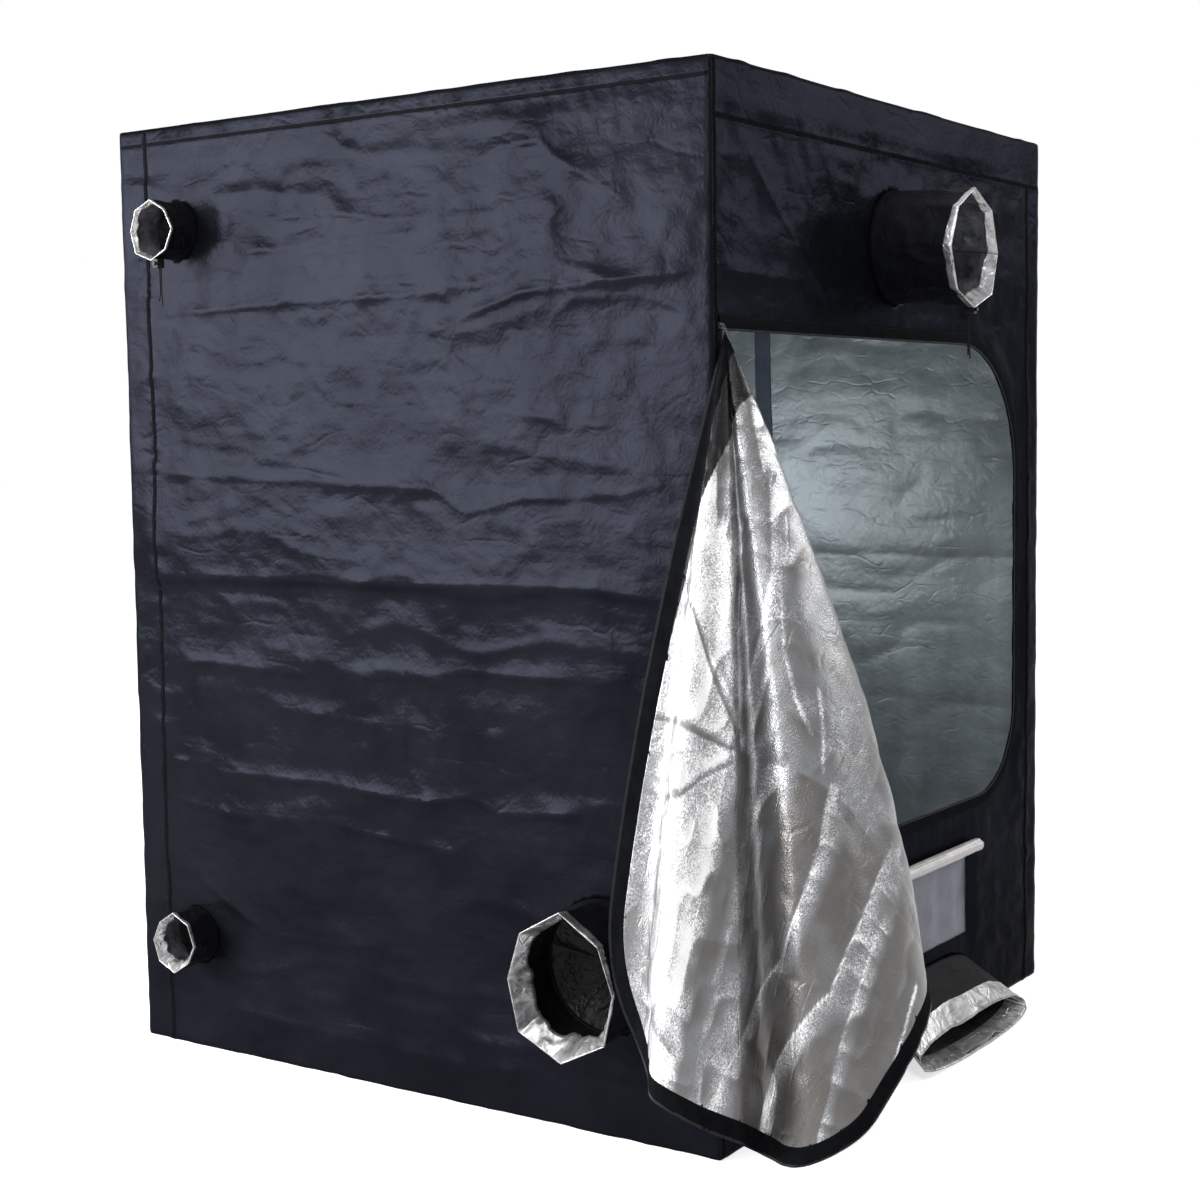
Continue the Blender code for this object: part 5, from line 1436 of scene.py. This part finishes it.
def add_flat_sleeve(angles):
    """The wide sleeve that lies on the ground, silver at its end."""
    ring_places = [(0.0, 0.0)] + [(share, FLAT_COLLAR) for share in np.linspace(0.0, 1.0, 22)]
    rings, uv, slots = [], [], []
    for share, collar in ring_places:
        ring = flat_sleeve_ring(share, angles, collar)
        around = np.stack((ring[:, 0], np.sin(angles) * 0.05, np.full(len(angles), share)), 1)
        lift = share * FLAT_CRUMPLE * crumple(around, FLAT_CRUMPLE_SIZE, WIDE_SLEEVE_SEED)
        lift = np.where(np.sin(angles) > -0.3, lift, lift * 0.2)
        ring = ring + unit(ring - ring.mean(0)) * lift[:, None]
        ring[:, 2] = np.maximum(ring[:, 2], ABOVE_GROUND)
        rings.append(ring)
        uv.append(ring_uv(angles, 0.2, collar + share * FLAT_REACH))
        slots += [1 if share > FLAT_CUFF_FROM else 0] * len(angles)
    piece = ring_piece("sleeve_front_lower_cloth", rings, uv,
                       [SLEEVE_OUT, CUFF, SLEEVE_IN, CUFF], slots[:-len(angles)])
    thicken(piece, CLOTH, -1.0, inner_slot=2)
    finished(piece, "tent", "sleeve", "sleeve_front_lower")


def add_sleeves():
    for number, port in enumerate(PORTS.values()):
        add_sleeve(port, number, SLEEVE_ANGLES)
        add_lip(port, number, SLEEVE_ANGLES)
        if port.wall == "left":
            add_sock(port, number, SLEEVE_ANGLES)
    add_flat_sleeve(SLEEVE_ANGLES)


# The vent window's net and roll

NET_PITCH, NET_THREAD = 0.0024, 0.0011
NET_SAG, NET_LIFT = 0.0035, 0.0008


def add_net():
    """The net behind the window, as crossed ribbons."""
    low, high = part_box("vent_mesh")

    def sag(x, z):
        u = (x - low.x) / (high.x - low.x)
        v = (z - low.z) / (high.z - low.z)
        wave = NET_SAG * np.sin(7 * math.pi * u + 1.5 * bumps(np.stack((x, z), 1), 0.12,
                                                              NET_SEED))
        return low.y + NET_LIFT + np.maximum(wave + NET_SAG, 0.0) * np.sin(math.pi * v) * smooth(
            np.minimum(u, 1 - u) / 0.05)

    points, faces, uv = [], [], []
    first = 0
    for across_low, across_high, run_low, run_high, steps, is_row in (
            (low.z, high.z, low.x, high.x, 40, True), (low.x, high.x, low.z, high.z, 24, False)):
        run = np.linspace(run_low, run_high, steps + 1)
        for level in np.arange(across_low + NET_PITCH, across_high - NET_PITCH / 2, NET_PITCH):
            for offset in (-NET_THREAD / 2, NET_THREAD / 2):
                fixed = np.full(len(run), level + offset)
                x, z = (run, fixed) if is_row else (fixed, run)
                points.append(np.stack((x, sag(x, z), z), 1))
                uv.append(np.stack((x, z), 1))
            faces += [(first + i, first + i + 1, first + len(run) + i + 1, first + len(run) + i)
                      for i in range(steps)]
            first += 2 * len(run)
    net = mesh_piece("vent_net", np.concatenate(points), faces, [NET], np.concatenate(uv))
    finished(net, "tent", "net", "vent_mesh")


ROLL_TURNS, ROLL_PITCH, ROLL_COLUMNS, ROLL_STEPS = 3.0, 0.0050, 70, 120
ROLL_SWELL, ROLL_INSET, ROLL_CLOTH_DEPTH = 0.0016, 0.0008, 0.0012


def add_roll():
    """The window's cover flap, rolled up in a spiral above it."""
    low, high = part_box("vent_flap_roll")
    middle = [(low[axis] + high[axis]) / 2 for axis in range(3)]
    radius, half = (high.y - low.y) / 2, (high.x - low.x) / 2
    angles = np.linspace(0.0, 2 * math.pi * ROLL_TURNS, ROLL_STEPS + 1)
    xs = np.linspace(-half, half, ROLL_COLUMNS)
    rows, uv = [], []
    for angle in angles:
        turn = angle / (2 * math.pi)
        base = radius - ROLL_INSET - ROLL_PITCH * turn
        around = np.stack((xs, np.full(len(xs), math.cos(angle) * 0.03 + turn),
                           np.full(len(xs), math.sin(angle) * 0.03)), 1)
        reach = base + ROLL_SWELL * (bumps(around, (0.09, 0.03, 0.03), ROLL_SEED) - 0.6)
        rows.append(np.stack((middle[0] + xs, middle[1] + np.cos(angle) * reach,
                              middle[2] + np.sin(angle) * reach), 1))
        uv.append(np.stack((xs, np.full(len(xs), base * angle)), 1))
    roll = mesh_piece("vent_flap_rolled", np.concatenate(rows),
                      grid_faces(len(xs), len(angles)), [ROLLED], np.concatenate(uv))
    thicken(roll, ROLL_CLOTH_DEPTH)
    finished(roll, "vent_roll", "rolled_cloth", "vent_flap_roll")


# The tray, the band and the binding

TRAY_SPACING, TRAY_RIM, TRAY_RIM_HEIGHT = 0.03, (0.012, 0.025, 0.038, 0.049), 0.05
TRAY_WAVE, TRAY_LIFT, TRAY_CLOTH_DEPTH = 0.0012, 0.0004, 0.0009


def add_tray():
    """The loose floor tray: a wavy sheet with a rim turned up."""
    low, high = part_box("floor_tray")
    columns = int((high.x - low.x) / TRAY_SPACING)
    shares = np.linspace(0.0, 1.0, columns)
    points = np.array([(low.x + (high.x - low.x) * u, low.y + (high.y - low.y) * v, 0.0)
                       for v in shares for u in shares])
    points[:, 2] = low.z + TRAY_LIFT + TRAY_WAVE * (1 + bumps(points[:, :2], 0.14, TRAY_SEED))
    faces = grid_faces(columns, columns)
    previous = (list(range(columns)) + [columns - 1 + columns * i for i in range(1, columns)]
                + [columns * (columns - 1) + i for i in range(columns - 2, -1, -1)]
                + [columns * i for i in range(columns - 2, 0, -1)])
    border = points[previous]
    for level in TRAY_RIM:
        ring = border.copy()
        ring[:, 2] = low.z + level
        inward = -unit(np.concatenate((ring[:, :2], np.zeros((len(ring), 1))), 1))
        wave = TRAY_WAVE * (1 + bumps(ring, 0.08, TRAY_SEED + 1)) * level / TRAY_RIM_HEIGHT
        current = list(range(len(points), len(points) + len(ring)))
        points = np.concatenate((points, ring + inward * wave[:, None]))
        faces += [(previous[i - 1], previous[i], current[i], current[i - 1])
                  for i in range(len(ring))]
        previous = current
    tray = mesh_piece("tray_liner", points, faces, [TRAY], points[:, :2])
    thicken(tray, TRAY_CLOTH_DEPTH, 1.0)
    finished(tray, "tent", "tray", "floor_tray")


BAND_COLUMNS, BAND_ROWS, BAND_WAVER, BAND_INWARD, BAND_DEPTH = 13, 240, 0.002, 0.0020, 0.0009


def add_band():
    """The dark band down the middle of the right wall, inside."""
    low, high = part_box("wall_right_band")
    ys, zs = np.meshgrid(np.linspace(low.y, high.y, BAND_COLUMNS),
                         np.linspace(low.z, high.z, BAND_ROWS))
    flat = np.stack((ys + BAND_WAVER * np.sin(9 * zs), zs), -1).reshape(-1, 2)
    band = mesh_piece("right_band", on_side("right", [], -CLOTH - BAND_INWARD)(flat),
                      grid_faces(BAND_COLUMNS, BAND_ROWS), [BAND], flat)
    thicken(band, BAND_DEPTH)
    finished(band, "tent", "tape", "wall_right_band")


def add_binding():
    """The binding down the door's seam, as a thin oval tube."""
    low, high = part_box("door_seam_binding")
    around = np.linspace(0.0, 2 * math.pi, 12, endpoint=False)
    middle, half = (low + high) / 2, (high - low) / 2
    rings, uv = [], []
    for z in np.linspace(low.z, high.z, 160):
        rings.append([(middle.x + half.x * math.cos(angle), middle.y + half.y * math.sin(angle),
                       z) for angle in around])
        uv.append(ring_uv(around, half.x, z))
    binding = ring_piece("seam_binding", rings, uv, [TAPE])
    finished(binding, "tent", "tape", "door_seam_binding")


def dress_frame():
    """Better materials on the CAD nodes that stay."""
    looks = {"post_": POLE, "rail_": POLE, "roof_bar_": POLE, "corner_": FITTING,
             "zip_slider_": ZIP_METAL, "zip_pull_": ZIP_PULL, "front_cord_": LOCK,
             "left_cord_": LOCK}
    for name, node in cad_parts.items():
        for start, material in looks.items():
            if name.startswith(start):
                node.data.materials.clear()
                node.data.materials.append(material)


# The studio

# Each lamp's place, what it points at, its size and its power
Lamp = namedtuple("Lamp", "name place target size watts colour", defaults=((1.0, 1.0, 1.0),))
LAMPS = (
    Lamp("key_left", (-4.4, -0.6, 3.2), (-0.8, -0.8, 1.0), (2.0, 2.0), 70),
    Lamp("sheen_left", (-4.4, 3.0, 2.0), (-0.76, 0.0, 1.6), (3.0, 1.9), 400),
    Lamp("sheen_front", (3.6, -2.8, 2.9), (-0.3, -0.76, 1.8), (1.4, 1.2), 58),
    Lamp("sheen_low", (2.3, -4.6, 3.3), (-0.2, -0.76, 1.8), (1.4, 1.2), 26),
    Lamp("fill_front", (0.6, -4.8, 2.6), (0.0, -0.7, 1.0), (2.0, 2.0), 30),
    Lamp("sheen_rear", (-2.4, 5.6, 2.4), (0.0, 0.76, 1.1), (2.4, 1.8), 260),
    Lamp("top_soft", (-1.6, -1.4, 4.6), (-0.7, -0.5, 1.0), (1.4, 1.4), 50),
    Lamp("inside_soft", (-0.35, 0.35, 1.15), (0.76, -0.25, 0.60), (0.5, 0.5), 1.8),
    Lamp("inside_glow", (0.30, 0.153, 1.18), (0.762, -0.10, 1.2), (0.06, 0.25), 0.17,
         (0.80, 0.90, 1.0)),
)
FLOOR_GREY, FLOOR_SIZE, FLOOR_DROP = 0.72, 40.0, 0.0005
FADE_FROM_TO, GLOW_FROM_TO = (1.5, 5.0), (0.66, 0.95)
WORLD_LIGHT = 0.26


def add_lamp(lamp):
    light = bpy.data.lights.new(lamp.name, "AREA")
    light.shape = "RECTANGLE"
    light.size, light.size_y = lamp.size
    light.energy = lamp.watts
    light.color = lamp.colour
    obj = bpy.data.objects.new(lamp.name, light)
    obj.location = lamp.place
    way = Vector(lamp.target) - Vector(lamp.place)
    obj.rotation_euler = way.to_track_quat("-Z", "Y").to_euler()
    obj.visible_camera = False
    bpy.context.scene.collection.objects.link(obj)


def seen_directly(tree):
    """1 where the camera sees the surface itself, or sees it mirrored or through glass."""
    path = made(tree, "ShaderNodeLightPath")
    seen = path.outputs["Is Camera Ray"]
    for kind in ("Is Glossy Ray", "Is Transmission Ray"):
        seen = maths(tree, "MAXIMUM", seen, path.outputs[kind])
    return seen


def add_studio_floor():
    """A pale floor that fades to white away from the tent."""
    floor = bpy.data.meshes.new("studio_floor")
    grid = bmesh.new()
    bmesh.ops.create_grid(grid, x_segments=1, y_segments=1, size=FLOOR_SIZE)
    grid.to_mesh(floor)
    grid.free()
    stage = bpy.data.objects.new("studio_floor", floor)
    stage.location = (0.0, 0.0, -FLOOR_DROP)
    bpy.context.scene.collection.objects.link(stage)
    material = bpy.data.materials.new("studio_floor")
    material.use_nodes = True
    tree = material.node_tree
    shader = tree.nodes["Principled BSDF"]
    shader.inputs["Base Color"].default_value = (FLOOR_GREY, FLOOR_GREY, FLOOR_GREY, 1.0)
    shader.inputs["Roughness"].default_value = 0.9
    shader.inputs["Specular IOR Level"].default_value = 0.0
    seen = seen_directly(tree)
    place = made(tree, "ShaderNodeTexCoord").outputs["Object"]
    away = made(tree, "ShaderNodeVectorMath", {0: place}, operation="LENGTH").outputs["Value"]
    glow = maths(tree, "MULTIPLY", seen, ranged(tree, away, *FADE_FROM_TO, *GLOW_FROM_TO))
    shader.inputs["Emission Color"].default_value = (1.0, 1.0, 1.0, 1.0)
    tree.links.new(glow, shader.inputs["Emission Strength"])
    floor.materials.append(material)


def add_world():
    """White where it is seen, and a weaker light on the tent."""
    world = bpy.data.worlds.new("studio")
    world.use_nodes = True
    tree = world.node_tree
    background = tree.nodes["Background"]
    strength = ranged(tree, seen_directly(tree), 0.0, 1.0, WORLD_LIGHT, 1.0)
    background.inputs["Color"].default_value = (1.0, 1.0, 1.0, 1.0)
    tree.links.new(strength, background.inputs["Strength"])
    bpy.context.scene.world = world


def add_studio():
    add_studio_floor()
    add_world()
    for lamp in LAMPS:
        add_lamp(lamp)
    bpy.context.scene.view_settings.view_transform = "Standard"


HOLES = cover_holes()
add_cover(HOLES)
add_seams(HOLES)
add_sleeves()
add_frame_tape()
add_lining()
add_guard()
add_flap_tape()
add_net()
add_roll()
add_tray()
add_band()
add_binding()
dress_frame()
add_studio()
